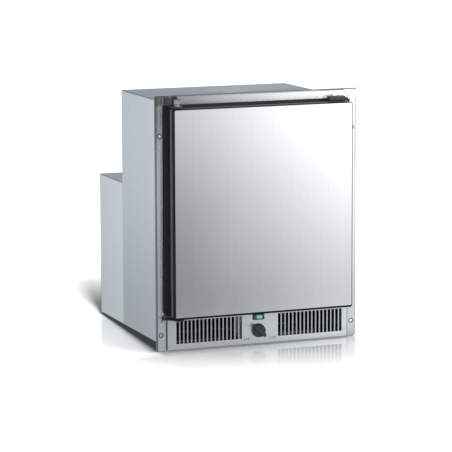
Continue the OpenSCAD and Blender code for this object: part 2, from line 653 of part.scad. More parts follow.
module compressor_bolts() color([0.70, 0.71, 0.70]) at_feet() union() {
  translate([0, 0, 0.2]) cylinder(r = 2.5, h = 28);
  translate([0, 0, 24.1]) cylinder(r = 6.5, h = 1.2);
  translate([0, 0, 25.2]) cylinder(r = 4.6, h = 3.6, $fn = 6);
}
module compressor_terminal_cover() color([0.10, 0.10, 0.11])
  at_compressor() box([60.6, -24, 62], [88, 24, 118]);
module filter_drier() color([0.72, 0.42, 0.25]) translate([drier_x, drier_y, 0])
  rotate_extrude() polygon([[0, 60], [2.4, 60], [2.4, 70], [8.5, 80], [8.5, 150],
    [2.6, 160], [2.6, 170], [0, 170]]);
module refrigerant_pipes() color([0.72, 0.42, 0.25]) {
  stub_left = comp_x - 30;
  stub_right = comp_x + 30;
  stub_front = machine_y - 22;
  stub_back = machine_y + 22;
  coil_in = tube_points[5];
  coil_out = tube_points[0];
  // compressor discharge to the condenser's upper end
  pipe([[stub_right, stub_back, 180.1], [stub_right, stub_back, 214],
    [coil_in[0], stub_back, 214], [coil_in[0], coil_front, 214],
    [coil_in[0], coil_front, coil_in[1] + 4.6]], 3);
  // suction line from the cold plate
  pipe([[stub_left, stub_front, 172.1], [stub_left, stub_front, suction_z],
    [suction_x, stub_front, suction_z], [suction_x, 233, suction_z]], 4);
  // capillary beside the suction line
  pipe([[drier_x, drier_y, 170.1], [drier_x, drier_y, 240], [drier_x, 306, 240],
    [53.5, 306, suction_z], [53.5, 233, suction_z]], 1.4);
  // condenser outlet to the filter drier
  pipe([[coil_out[0], coil_front, coil_out[1] - 4.6], [coil_out[0], coil_front, 44],
    [-60, coil_front, 44], [drier_x, drier_y, 44], [drier_x, drier_y, 59.9]], 2.4);
}
module condenser_tubes() color([0.72, 0.42, 0.25]) union() {
  cyls_y(tube_points, 3.95, coil_front, coil_back);
  for (i = [0:4]) {
    a = tube_points[i];
    b = tube_points[i + 1];
    y = i % 2 == 0 ? coil_back : coil_front;
    rod([a[0], y, a[1]], [b[0], y, b[1]], 3.6);
  }
  for (p = tube_points, y = [coil_front, coil_back]) translate([p[0], y, p[1]]) sphere(4.5);
}
module condenser_fins() color([0.82, 0.84, 0.86]) for (i = [0:fin_n - 1]) {
  y = 300 + i * 100 / (fin_n - 1);
  slab(y, y + 0.5) difference() {
    rect(coil_x - 20, 56, coil_x + 20, 186);
    for (p = tube_points) translate(p) circle(4);
  }
}
module fan_frame() color([0.10, 0.10, 0.11]) at_fan() difference() {
  union() {
    difference() {
      slab_x(-13, 13) centred_rect(0, 0, 60, 60, 5);
      cyl_x(0, 0, 56, -20, 20);
      // waist between the two square end plates
      slab_x(-9, 9) difference() {
        rect(-70, -70, 70, 70);
        circle(58);
      }
    }
    // motor mount with four struts
    cyl_x(0, 0, 19, 9, 13);
    for (a = [0:90:270]) rotate([a + 20, 0, 0]) box([9.5, 17, -2.5], [12.5, 57, 2.5]);
  }
  cyl_x(0, 0, 2.05, 0, 20);
}
module fan_rotor() color([0.13, 0.13, 0.14]) at_fan() union() {
  difference() {
    cyl_x(0, 0, 20, -9, 8.6);
    cyl_x(0, 0, 17.5, -6.5, 9);
  }
  cyl_x(0, 0, 2, -8, 12.5);
  for (i = [0:blade_n - 1]) rotate([i * 360 / blade_n, 0, 0])
    translate([0, 0, 18]) rotate([0, 0, 38]) translate([-1, -13, 0]) cube([2, 26, 35]);
}
module power_inlet() color([0.08, 0.08, 0.09]) difference() {
  union() {
    slab(total_depth, total_depth + 2.4) centred_rect(inlet_x, inlet_z, 17, 13.5, 3);
    slab(total_depth - 14, total_depth + 0.6) centred_rect(inlet_x, inlet_z, 13.7, 10.2, 2);
  }
  slab(total_depth - 11, total_depth + 4) centred_rect(inlet_x, inlet_z, 11, 7.5, 3);
}

// ---------- assembly ----------
cabinet_wrap();
front_frame();
mounting_flange();
upper_back_panel();
machine_housing();
machine_back_cover();
back_cover_screws();
base_pan();
duct_deck();
air_divider();
insulation_foam();
inner_liner();
shelf_upper();
shelf_lower();
evaporator_plate();
evaporator_standoffs();
drip_trough();
drain_tube();
lamp_base();
lamp_lens();
grille_panel();
grille_clips();
control_box();
thermostat_body();
thermostat_shaft();
temperature_knob();
switch_housing();
switch_rocker();
wiring_loom();
top_hinge_bracket();
bottom_hinge_bracket();
top_hinge_cover();
hinge_pins();
hinge_screws();
thrust_washers();
latch_keeper();
keeper_screws();
door_front_panel();
door_trim_frame();
door_foam();
door_liner();
door_gasket();
door_shelf_upper();
door_shelf_lower();
hinge_bushes();
latch_housing();
latch_bolt();
latch_spring();
compressor_shell();
compressor_base();
compressor_grommets();
compressor_bolts();
compressor_terminal_cover();
filter_drier();
refrigerant_pipes();
condenser_tubes();
condenser_fins();
fan_frame();
fan_rotor();
power_inlet();
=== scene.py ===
import json
import math
import bmesh
import bpy
from mathutils import Matrix, Vector

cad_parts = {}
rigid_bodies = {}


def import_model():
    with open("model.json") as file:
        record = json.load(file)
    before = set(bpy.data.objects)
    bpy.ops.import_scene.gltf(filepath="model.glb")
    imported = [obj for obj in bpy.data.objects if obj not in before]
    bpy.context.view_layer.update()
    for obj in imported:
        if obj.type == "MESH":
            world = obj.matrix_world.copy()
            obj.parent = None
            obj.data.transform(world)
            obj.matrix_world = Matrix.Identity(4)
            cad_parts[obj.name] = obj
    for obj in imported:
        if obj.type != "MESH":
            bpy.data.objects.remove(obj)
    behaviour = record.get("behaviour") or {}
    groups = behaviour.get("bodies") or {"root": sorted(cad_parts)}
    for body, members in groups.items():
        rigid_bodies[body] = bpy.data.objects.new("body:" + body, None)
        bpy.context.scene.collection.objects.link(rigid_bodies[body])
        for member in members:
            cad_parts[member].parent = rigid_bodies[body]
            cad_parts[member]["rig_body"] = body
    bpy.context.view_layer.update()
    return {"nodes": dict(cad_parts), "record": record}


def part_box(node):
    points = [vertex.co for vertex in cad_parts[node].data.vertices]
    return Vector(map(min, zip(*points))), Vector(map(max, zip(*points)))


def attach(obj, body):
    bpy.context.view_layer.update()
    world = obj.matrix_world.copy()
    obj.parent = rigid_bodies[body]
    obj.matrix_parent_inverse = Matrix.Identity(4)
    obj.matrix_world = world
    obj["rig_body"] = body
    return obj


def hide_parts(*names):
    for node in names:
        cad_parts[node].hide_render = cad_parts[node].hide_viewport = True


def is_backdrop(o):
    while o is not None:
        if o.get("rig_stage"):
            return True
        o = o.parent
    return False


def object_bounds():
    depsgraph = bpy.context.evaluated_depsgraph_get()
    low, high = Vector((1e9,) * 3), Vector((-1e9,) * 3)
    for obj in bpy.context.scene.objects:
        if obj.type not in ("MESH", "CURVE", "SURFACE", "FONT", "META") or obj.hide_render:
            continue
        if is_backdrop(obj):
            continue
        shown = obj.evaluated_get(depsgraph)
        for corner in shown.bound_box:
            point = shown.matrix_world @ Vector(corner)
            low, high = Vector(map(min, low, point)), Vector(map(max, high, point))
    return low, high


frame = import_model()
NODES = frame["nodes"]
scene = bpy.context.scene
COLL = scene.collection


# ------------------------------------------------------------------ node graph helper
class G:
    """A small material builder: every texture runs in the row frame, in metres."""

    def __init__(self, name):
        self.m = bpy.data.materials.new(name)
        self.m.use_nodes = True
        self.nt = self.m.node_tree
        self.nt.nodes.clear()
        self.out = self.nt.nodes.new("ShaderNodeOutputMaterial")
        self.b = self.nt.nodes.new("ShaderNodeBsdfPrincipled")
        self.nt.links.new(self.b.outputs[0], self.out.inputs[0])
        self.tc = self.nt.nodes.new("ShaderNodeTexCoord")
        self.obj = self.tc.outputs["Object"]

    def node(self, kind, **props):
        n = self.nt.nodes.new(kind)
        for k, v in props.items():
            setattr(n, k, v)
        return n

    def put(self, socket, v):
        if isinstance(v, bpy.types.NodeSocket):
            self.nt.links.new(v, socket)
        elif v is not None:
            if hasattr(socket.default_value, "__len__") and not hasattr(v, "__len__"):
                v = [v] * len(socket.default_value)
            if socket.type == "RGBA" and len(v) == 3:
                v = (*v, 1.0)
            socket.default_value = v

    def set(self, **kw):
        for k, v in kw.items():
            self.put(self.b.inputs[k.replace("_", " ")], v)
        return self

    def scaled(self, sx, sy, sz, src=None):
        n = self.node("ShaderNodeVectorMath", operation="MULTIPLY")
        self.put(n.inputs[0], src or self.obj)
        n.inputs[1].default_value = (sx, sy, sz)
        return n.outputs[0]

    def noise(self, vec=None, scale=1.0, detail=3.0, rough=0.5, dist=0.0):
        n = self.node("ShaderNodeTexNoise")
        self.put(n.inputs["Vector"], vec or self.obj)
        n.inputs["Scale"].default_value = scale
        n.inputs["Detail"].default_value = detail
        n.inputs["Roughness"].default_value = rough
        n.inputs["Distortion"].default_value = dist
        return n.outputs["Fac"]

    def voronoi(self, vec=None, scale=1.0, feature="F1", out="Distance"):
        n = self.node("ShaderNodeTexVoronoi", feature=feature)
        self.put(n.inputs["Vector"], vec or self.obj)
        n.inputs["Scale"].default_value = scale
        return n.outputs[out]

    def math(self, op, a, b=None, c=None, clamp=False):
        n = self.node("ShaderNodeMath", operation=op, use_clamp=clamp)
        for i, v in enumerate((a, b, c)):
            if v is not None:
                self.put(n.inputs[i], v)
        return n.outputs[0]

    def rng(self, v, a, b, c, d, smooth=False):
        n = self.node("ShaderNodeMapRange", clamp=True)
        if smooth:
            n.interpolation_type = "SMOOTHSTEP"
        self.put(n.inputs[0], v)
        for i, x in zip((1, 2, 3, 4), (a, b, c, d)):
            n.inputs[i].default_value = x
        return n.outputs[0]

    def mix(self, fac, a, b, blend="MIX"):
        n = self.node("ShaderNodeMix", data_type="RGBA", blend_type=blend)
        self.put(n.inputs[0], fac)
        self.put(n.inputs[6], a)
        self.put(n.inputs[7], b)
        return n.outputs[2]

    def scale_color(self, col, fac):
        n = self.node("ShaderNodeVectorMath", operation="SCALE")
        self.put(n.inputs[0], col)
        self.put(n.inputs["Scale"], fac)
        return n.outputs[0]

    def rgb(self, c):
        n = self.node("ShaderNodeRGB")
        n.outputs[0].default_value = (*c, 1.0)
        return n.outputs[0]

    def xyz(self, src=None):
        n = self.node("ShaderNodeSeparateXYZ")
        self.put(n.inputs[0], src or self.obj)
        return n.outputs

    def bump(self, height, dist, strength=1.0, normal=None):
        n = self.node("ShaderNodeBump")
        n.inputs["Strength"].default_value = strength
        n.inputs["Distance"].default_value = dist
        self.put(n.inputs["Height"], height)
        if normal is not None:
            self.put(n.inputs["Normal"], normal)
        return n.outputs[0]

    def edges(self, radius, samples=4):
        """1 along convex and concave edges, 0 on flats."""
        bev = self.node("ShaderNodeBevel", samples=samples)
        bev.inputs["Radius"].default_value = radius
        geo = self.node("ShaderNodeNewGeometry")
        d = self.node("ShaderNodeVectorMath", operation="DOT_PRODUCT")
        self.put(d.inputs[0], bev.outputs[0])
        self.put(d.inputs[1], geo.outputs["Normal"])
        return self.rng(d.outputs["Value"], 0.985, 0.80, 0.0, 1.0)


# ------------------------------------------------------------------ materials
def brushed(name, base, rough=0.30, grain="z", aniso=0.55, fine=0.05, streak=0.035, smudge=0.04, lines=None, painted_shading=None, metallic=1.0, painted_glow=None):
    g = G(name)
    s = {"z": (2400, 2400, 22), "x": (22, 2400, 2400), "y": (2400, 22, 2400)}[grain]
    t = {"z": (240, 240, 2.2), "x": (2.2, 240, 240), "y": (240, 2.2, 240)}[grain]
    f = g.noise(g.scaled(*s), 1.0, 2.0, 0.6)
    w = g.noise(g.scaled(*t), 1.0, 3.0, 0.55)
    cloud = g.noise(None, 9.0, 3.0, 0.55, 0.3)
    spots = g.noise(None, 55.0, 4.0, 0.6)
    k = g.math("MULTIPLY_ADD", g.math("SUBTRACT", w, 0.5), streak * 2, 1.0)
    k = g.math("MULTIPLY_ADD", g.math("SUBTRACT", f, 0.5), fine * 2, k)
    k = g.math("MULTIPLY_ADD", g.math("SUBTRACT", cloud, 0.5), 0.05, k)
    # painted light and shade: the colour is scaled by the material's shading function
    if painted_shading:
        k = g.math("MULTIPLY", k, painted_shading(g))
    col = g.scale_color(g.rgb(base), k)
    r = g.math("MULTIPLY_ADD", g.math("SUBTRACT", f, 0.5), 0.12, rough)
    r = g.math("MULTIPLY_ADD", g.math("SUBTRACT", cloud, 0.5), smudge * 2, r)
    r = g.math("MULTIPLY_ADD", g.rng(spots, 0.56, 0.72, 0, 1), 0.035, r)
    nrm = g.bump(f, 0.000016, 0.55)
    # dark marks from lines(): painted shade on folds, rims and gaps, plus weld and seam lines
    if lines:
        height, dark = lines(g)
        nrm = g.bump(height, 0.0003, 1.0, nrm)
        col = g.mix(dark, col, tuple(c * 0.14 for c in base))
    tan = g.node("ShaderNodeTangent", direction_type="RADIAL", axis="Z")
    g.set(Base_Color=col, Metallic=metallic, Roughness=r, Anisotropic=aniso, Anisotropic_Rotation=0.25 if grain != "x" else 0.0, Normal=nrm)
    g.put(g.b.inputs["Tangent"], tan.outputs[0])
    # painted glow: emission standing in for a highlight
    if painted_glow:
        g.set(Emission_Color=(0.97, 0.98, 1.0, 1.0), Emission_Strength=painted_glow(g))
    return g.m


def plastic(name, base, rough=0.45, grain=0.00005, cell=0.0006, spec=0.5, mottled=0.08, wear=None, coat=0.0, sub=0.0):
    g = G(name)
    v = g.voronoi(None, 1.0 / cell)
    n1 = g.noise(None, 40.0, 4.0, 0.6)
    n2 = g.noise(None, 420.0, 3.0, 0.6)
    k = g.math("MULTIPLY_ADD", g.math("SUBTRACT", n1, 0.5), mottled * 2, 1.0)
    col = g.scale_color(g.rgb(base), k)
    if wear:
        e = g.math("MULTIPLY", g.edges(0.0009), g.rng(n2, 0.42, 0.62, 0, 1))
        col = g.mix(g.math("MULTIPLY", e, 0.7), col, wear)
    r = g.math("MULTIPLY_ADD", g.math("SUBTRACT", n2, 0.5), 0.18, rough)
    g.set(Base_Color=col, Roughness=r, Specular_IOR_Level=spec, Normal=g.bump(g.math("ADD", v, g.math("MULTIPLY", n2, 0.5)), grain, 0.6))
    if coat:
        g.set(Coat_Weight=coat, Coat_Roughness=0.12)
    if sub:
        g.set(Subsurface_Weight=sub, Subsurface_Scale=0.002)
    return g.m


def metal(name, base, rough=0.35, var=0.12, scale=60.0, spots=None, grain=0.00003, aniso=0.0):
    g = G(name)
    n1 = g.noise(None, scale, 5.0, 0.6, 0.4)
    n2 = g.noise(None, scale * 22, 2.0, 0.5)
    k = g.math("MULTIPLY_ADD", g.math("SUBTRACT", n1, 0.5), var * 2, 1.0)
    col = g.scale_color(g.rgb(base), k)
    if spots:
        col = g.mix(g.rng(n1, 0.56, 0.70, 0, 0.75, True), col, spots)
    e = g.edges(0.0006)
    col = g.mix(g.math("MULTIPLY", e, 0.35), col, tuple(min(1.0, c * 1.35) for c in base))
    r = g.math("MULTIPLY_ADD", g.math("SUBTRACT", n1, 0.5), 0.25, rough)
    g.set(Base_Color=col, Metallic=1.0, Roughness=r, Anisotropic=aniso, Normal=g.bump(n2, grain, 0.6))
    return g.m


M = {}


HOLES = [(sx * 0.1985, z) for sx in (-1, 1) for z in (0.031, 0.414)]


def near(g, v, lo, hi, soft=0.0003):
    """1 where v lies between lo and hi."""
    return g.math("MULTIPLY", g.rng(v, lo - soft, lo + soft, 0, 1, True), g.rng(v, hi - soft, hi + soft, 1, 0, True))


def flange_lines(g):
    """Ground mitre welds at the corners, and painted shade: in the countersinks, on the folded edges and rims, along
    the left strip's inner edge, in the joint beside the grille and along the foot.
    """
    x, y, z = g.xyz()
    ax = g.math("ABSOLUTE", x)
    d = g.math("ABSOLUTE", g.math("SUBTRACT", ax, g.math("SUBTRACT", z, 0.283)))
    width = g.math("MULTIPLY_ADD", g.noise(None, 900.0, 2.0), 0.0005, 0.00035)
    line = g.math("LESS_THAN", d, width)
    line = g.math("MULTIPLY", g.math("MULTIPLY", line, g.math("GREATER_THAN", ax, 0.1935)), g.math("GREATER_THAN", z, 0.476))
    # painted shade in each countersink ring
    ring = None
    for hx, hz in HOLES:
        dx, dz = g.math("SUBTRACT", x, hx), g.math("SUBTRACT", z, hz)
        rad = g.math("SQRT", g.math("ADD", g.math("MULTIPLY", dx, dx), g.math("MULTIPLY", dz, dz)))
        one = g.rng(rad, 0.0050, 0.0056, 1, 0, True)
        ring = one if ring is None else g.math("MAXIMUM", ring, one)
    # painted shade on the folded edges, the rims and the strip's inner edge
    fold_shade = g.math("MAXIMUM", g.rng(ax, 0.2056, 0.2064, 0, 0.88), g.rng(z, 0.4883, 0.4892, 0, 0.92))
    fold_shade = g.math("MULTIPLY", fold_shade, g.rng(y, 0.0, 0.006, 1, 0.25, True))
    face = g.math("LESS_THAN", y, -0.0040)
    painted_rim_shade = g.math("MAXIMUM", g.rng(x, -0.2050, -0.2042, 0.62, 0.0), g.math("MULTIPLY", g.rng(z, 0.4866, 0.4874, 0, 1), g.rng(x, -0.12, 0.05, 0.1, 0.62)))
    inner_edge_shade = g.math("SUBTRACT", x, g.rng(z, 0.06, 0.42, -0.1964, -0.1924))
    inner_edge_shade = g.math("MULTIPLY", g.rng(inner_edge_shade, 0.0, 0.0008, 0, 0.86), g.math("MULTIPLY", g.math("LESS_THAN", x, -0.18), g.rng(z, 0.064, 0.070, 0, 1)))
    inner_edge_shade = g.math("MULTIPLY", inner_edge_shade, g.math("LESS_THAN", z, 0.462))
    painted_rim_shade = g.math("MAXIMUM", painted_rim_shade, g.math("MULTIPLY", g.rng(z, 0.4864, 0.4872, 0, 0.93), g.rng(x, 0.08, 0.15, 0, 1, True)))
    painted_rim_shade = g.math("MAXIMUM", painted_rim_shade, g.math("MULTIPLY", g.rng(x, 0.2038, 0.2048, 0, 0.55), g.rng(z, 0.22, 0.40, 0, 1, True)))
    painted_rim_shade = g.math("MULTIPLY", g.math("MAXIMUM", painted_rim_shade, inner_edge_shade), face)
    fold_shade = g.math("MAXIMUM", fold_shade, painted_rim_shade)
    # painted shade in the gap beside the grille
    gap_shade = g.math("MULTIPLY", near(g, ax, 0.1872, 0.1890), g.rng(z, 0.0615, 0.0625, 1, 0))
    gap_shade = g.math("MULTIPLY", gap_shade, g.rng(x, -0.1, 0.1, 1.0, 1.35))
    wide = g.math("MULTIPLY", near(g, x, 0.1872, 0.1908, 0.0003), g.rng(z, 0.0615, 0.0625, 0.78, 0))
    gap_shade = g.math("MAXIMUM", gap_shade, wide)
    # painted shade along the foot
    foot_shade = g.math("MULTIPLY", g.rng(z, 0.0, 0.0012, 0.35, 0.0), 1.0)
    dark = g.math("MAXIMUM", g.math("MULTIPLY", line, 0.45), g.math("MULTIPLY", ring, 0.72))
    dark = g.math("MAXIMUM", dark, g.math("MAXIMUM", fold_shade, g.math("MULTIPLY", gap_shade, 0.62)))
    return g.math("MULTIPLY", line, -1.0), g.math("MAXIMUM", dark, foot_shade)


def fold_lines(top_z):
    """Painted shade: a thin dark line along the tight folds of the casing where the sheet turns over."""
    def lines(g):
        x, y, z = g.xyz()
        ax = g.math("ABSOLUTE", x)
        fold_shade = g.math("MULTIPLY", g.rng(ax, 0.1748, 0.1757, 0, 1, True), g.rng(z, top_z - 0.0022, top_z - 0.0013, 0, 1, True))
        back = near(g, y, 0.2772, 0.2782, 0.0004)
        return g.math("MULTIPLY", fold_shade, 0.0), g.math("MAXIMUM", g.math("MULTIPLY", fold_shade, 0.55), g.math("MULTIPLY", back, 0.25))
    return lines


# Painted light on the casing: side walls lighter towards the front and, on the step, lighter towards the bottom; the
# top is painted darker.
def wall_painted_shading(y0, y1, a, b, top_z):
    def painted_shading(g):
        x, y, z = g.xyz()
        side = g.rng(g.math("ABSOLUTE", x), 0.1755, 0.1765, 0, 1)
        k = g.math("SUBTRACT", g.rng(y, y0, y1, a, b), 1.0)
        if top_z < 0.4:
            k = g.math("ADD", k, g.rng(z, 0.02, 0.27, 0.10, -0.075))
        roof_shade = g.rng(z, top_z - 0.0009, top_z - 0.0003, 0, 0.13 if top_z > 0.4 else 0.34)
        return g.math("SUBTRACT", g.math("MULTIPLY_ADD", k, side, 1.0), roof_shade)
    return painted_shading


# Painted light on the flange: along the top band it darkens to the left, both side strips are lightened, and the left
# strip is graded across its width against the door's dark reflection in it.
def flange_painted_shading(g):
    x, y, z = g.xyz()
    top = g.rng(z, 0.4690, 0.4730, 0, 1)
    k = g.math("SUBTRACT", g.rng(x, -0.20, 0.05, 0.455, 1.0), 1.0)
    k = g.math("MULTIPLY_ADD", k, top, 1.0)
    strip = g.math("MULTIPLY", g.rng(x, -0.188, -0.184, 0.36, 0.0, True), g.rng(z, 0.36, 0.46, 1, 0.25, True))
    strip = g.math("MULTIPLY", strip, g.rng(z, 0.06, 0.09, 0.1, 1, True))
    right = g.math("MULTIPLY", g.rng(x, 0.184, 0.190, 0.0, 0.22, True), g.rng(z, 0.06, 0.16, 0, 1, True))
    high = g.rng(z, 0.27, 0.44, 0, 1, True)
    upper = g.math("MULTIPLY", g.rng(x, -0.2045, -0.1955, -0.52, 0.34), high)
    lower = g.math("MULTIPLY", g.rng(x, -0.2045, -0.1955, -0.08, 0.26), g.math("SUBTRACT", 1.0, high))
    even = g.math("MULTIPLY", g.math("ADD", upper, lower), g.math("MULTIPLY", g.math("LESS_THAN", x, -0.186), g.rng(z, 0.06, 0.09, 0, 1, True)))
    even = g.math("SUBTRACT", even, g.math("MULTIPLY", g.rng(z, 0.39, 0.45, 0, 0.20, True), g.math("LESS_THAN", x, -0.186)))
    k = g.math("MULTIPLY", k, g.math("ADD", even, 1.0))
    return g.math("MULTIPLY", k, g.math("ADD", g.math("ADD", strip, right), 1.0))


def latch_painted_glow(g):
    """Painted glow on the polished flange behind the latch: emission standing in for a highlight, shown only when seen
    from the left.
    """
    x, y, z = g.xyz()
    m = g.math("MULTIPLY", g.rng(x, 0.124, 0.140, 0, 1, True), g.math("MULTIPLY", g.rng(z, 0.4712, 0.4740, 0, 1, True), g.rng(z, 0.4858, 0.4866, 1, 0, True)))
    toward = g.xyz(g.node("ShaderNodeNewGeometry").outputs["Incoming"])[0]
    m = g.math("MULTIPLY", m, g.rng(toward, -0.32, -0.12, 1, 0, True))
    return g.math("MULTIPLY", g.math("MULTIPLY", m, g.math("LESS_THAN", y, -0.0040)), 0.42)


# painted shade along the keeper's top rim
def keeper_rim_shade(g):
    x, y, z = g.xyz()
    painted_rim_shade = g.rng(z, 0.4868, 0.4874, 0, 0.62)
    return g.math("MULTIPLY", painted_rim_shade, 0.0), painted_rim_shade


# Painted light on the grille: below the slots it grows lighter to the right; the slotted field is darker.
def grille_painted_shading(g):
    x, y, z = g.xyz()
    bars = g.math("MULTIPLY", near(g, z, 0.0128, 0.0574, 0.0002), g.math("MAXIMUM", near(g, x, -0.1688, -0.0346), near(g, x, 0.0415, 0.1757)))
    return g.math("ADD", g.math("MULTIPLY_ADD", g.rng(z, 0.0118, 0.0124, 1, 0), g.rng(x, -0.06, 0.15, 0.0, 0.20), g.math("MULTIPLY", bars, -0.24)), 1.0)


# Painted shade on the grille: its side faces, the slot walls and a band along its foot are darkened.
def grille_painted_edge_shade(g):
    x, y, z = g.xyz()
    side = g.rng(g.math("ABSOLUTE", x), 0.1866, 0.1871, 0, 0.62)
    geo = g.node("ShaderNodeNewGeometry")
    nx = g.math("ABSOLUTE", g.xyz(geo.outputs["True Normal"])[0])
    slot_wall_shade = g.math("MULTIPLY", g.rng(nx, 0.75, 0.9, 0, 0.72), g.math("LESS_THAN", g.math("ABSOLUTE", x), 0.18))
    side = g.math("MAXIMUM", side, slot_wall_shade)
    return g.math("MULTIPLY", side, 0.0), g.math("MAXIMUM", side, g.rng(z, 0.0004, 0.0020, 0.42, 0.0))


M["body_sheet"] = brushed("stainless_body", (0.68, 0.72, 0.755), rough=0.36, grain="z", aniso=0.4, fine=0.045, streak=0.03, lines=fold_lines(0.475),
                          painted_shading=wall_painted_shading(0.0, 0.278, 1.10, 0.955, 0.475))
M["step_sheet"] = brushed("stainless_step", (0.805, 0.85, 0.88), rough=0.38, grain="z", aniso=0.4, fine=0.045, streak=0.025, lines=fold_lines(0.289),
                          painted_shading=wall_painted_shading(0.278, 0.421, 1.08, 0.98, 0.289))
M["brushed_front"] = brushed("stainless_flange", (0.62, 0.635, 0.65), rough=0.24, grain="z", aniso=0.45, lines=flange_lines, painted_shading=flange_painted_shading, metallic=0.86, painted_glow=latch_painted_glow)
M["keeper_steel"] = brushed("stainless_keeper", (0.86, 0.87, 0.88), rough=0.34, grain="z", aniso=0.3, fine=0.03, streak=0.02, lines=keeper_rim_shade, painted_glow=latch_painted_glow)
M["door_steel"] = brushed("stainless_door", (0.735, 0.750, 0.760), rough=0.22, grain="z", aniso=0.5, fine=0.05, streak=0.03, smudge=0.03)
M["grille_steel"] = brushed("stainless_grille", (0.69, 0.705, 0.72), rough=0.28, grain="x", aniso=0.4, lines=grille_painted_edge_shade, painted_shading=grille_painted_shading, metallic=0.92)


def galvanised():
    g = G("galvanised_sheet")
    c = g.node("ShaderNodeTexVoronoi", feature="F1")
    g.put(c.inputs["Vector"], g.obj)
    c.inputs["Scale"].default_value = 110.0
    c.inputs["Randomness"].default_value = 1.0
    t = g.xyz(c.outputs["Color"])[0]
    n = g.noise(None, 300.0, 3.0)
    col = g.mix(t, (0.36, 0.38, 0.40), (0.60, 0.62, 0.64))
    r = g.math("MULTIPLY_ADD", t, 0.22, 0.34)
    g.set(Base_Color=col, Metallic=1.0, Roughness=r, Normal=g.bump(g.math("ADD", t, n), 0.00004, 0.5))
    return g.m


M["galvanised"] = galvanised()


def trim():
    """Satin black moulding with a painted highlight: a lighter band along its side where the ridge catches light."""
    g = G("door_edge_moulding")
    x, y, z = g.xyz()
    n1 = g.noise(None, 60.0, 4.0, 0.6)
    n2 = g.noise(None, 900.0, 2.0, 0.5)
    # painted highlight: a lighter band along the moulding's side
    ridge_highlight = g.math("MULTIPLY", g.rng(y, -0.0336, -0.0326, 0, 1, True), g.rng(y, -0.0246, -0.0234, 1, 0, True))
    col = g.mix(ridge_highlight, (0.0060, 0.0078, 0.0084), (0.056, 0.062, 0.066))
    col = g.scale_color(col, g.math("MULTIPLY_ADD", g.math("SUBTRACT", n1, 0.5), 0.30, 1.0))
    e = g.math("MULTIPLY", g.edges(0.0008), g.rng(n2, 0.40, 0.62, 0, 0.4))
    col = g.mix(e, col, (0.045, 0.048, 0.050))
    r = g.math("MULTIPLY_ADD", g.math("SUBTRACT", n1, 0.5), 0.25, 0.46)
    g.set(Base_Color=col, Roughness=r, Specular_IOR_Level=g.math("MULTIPLY_ADD", ridge_highlight, 0.34, 0.09), Normal=g.bump(n2, 0.00004, 0.5))
    return g.m


M["trim"] = trim()
M["black_trim"] = plastic("front_frame_black", (0.014, 0.016, 0.017), rough=0.46, cell=0.0007, wear=(0.07, 0.075, 0.08))
M["dark_plastic"] = plastic("charcoal_plastic", (0.022, 0.024, 0.027), rough=0.42, cell=0.0005, wear=(0.10, 0.105, 0.11))
M["knob_plastic"] = plastic("knob_plastic", (0.022, 0.025, 0.028), rough=0.36, cell=0.0004, grain=0.00003, wear=(0.13, 0.135, 0.14))
M["white_liner"] = plastic("thermoformed_white", (0.84, 0.855, 0.86), rough=0.30, cell=0.0022, grain=0.00003, mottled=0.02, coat=0.15, sub=0.06)
M["nylon"] = plastic("natural_nylon", (0.80, 0.78, 0.72), rough=0.38, cell=0.0008, mottled=0.05, sub=0.15)
M["gasket_rubber"] = plastic("seal_rubber", (0.020, 0.020, 0.022), rough=0.62, cell=0.0009, mottled=0.12)
M["cable_sheath"] = plastic("cable_sheath", (0.016, 0.016, 0.018), rough=0.48, cell=0.0012, mottled=0.10)
M["coated_wire"] = plastic("epoxy_coated_wire", (0.80, 0.82, 0.83), rough=0.26, cell=0.0015, grain=0.00004, mottled=0.03, coat=0.35)
M["black_enamel"] = plastic("baked_black_enamel", (0.010, 0.010, 0.011), rough=0.24, cell=0.0018, grain=0.00006, mottled=0.15, coat=0.4, wear=(0.06, 0.06, 0.06))
M["fastener"] = metal("plated_steel", (0.60, 0.61, 0.62), rough=0.30, var=0.10, scale=140.0)
M["plate_aluminium"] = metal("rolled_aluminium", (0.72, 0.735, 0.75), rough=0.34, var=0.08, scale=50.0)
M["copper"] = metal("drawn_copper", (0.74, 0.40, 0.25), rough=0.30, var=0.18, scale=45.0, spots=(0.30, 0.15, 0.10))


def foam():
    g = G("insulating_foam")
    v = g.voronoi(None, 900.0)
    b = g.noise(None, 30.0, 5.0, 0.6)
    col = g.mix(b, (0.78, 0.62, 0.33), (0.90, 0.80, 0.54))
    g.set(Base_Color=g.scale_color(col, g.rng(v, 0.0, 0.6, 0.82, 1.05)), Roughness=0.92, Specular_IOR_Level=0.2,
          Normal=g.bump(g.math("ADD", v, b), 0.0005, 0.7), Subsurface_Weight=0.1, Subsurface_Scale=0.003)
    return g.m


M["foam"] = foam()


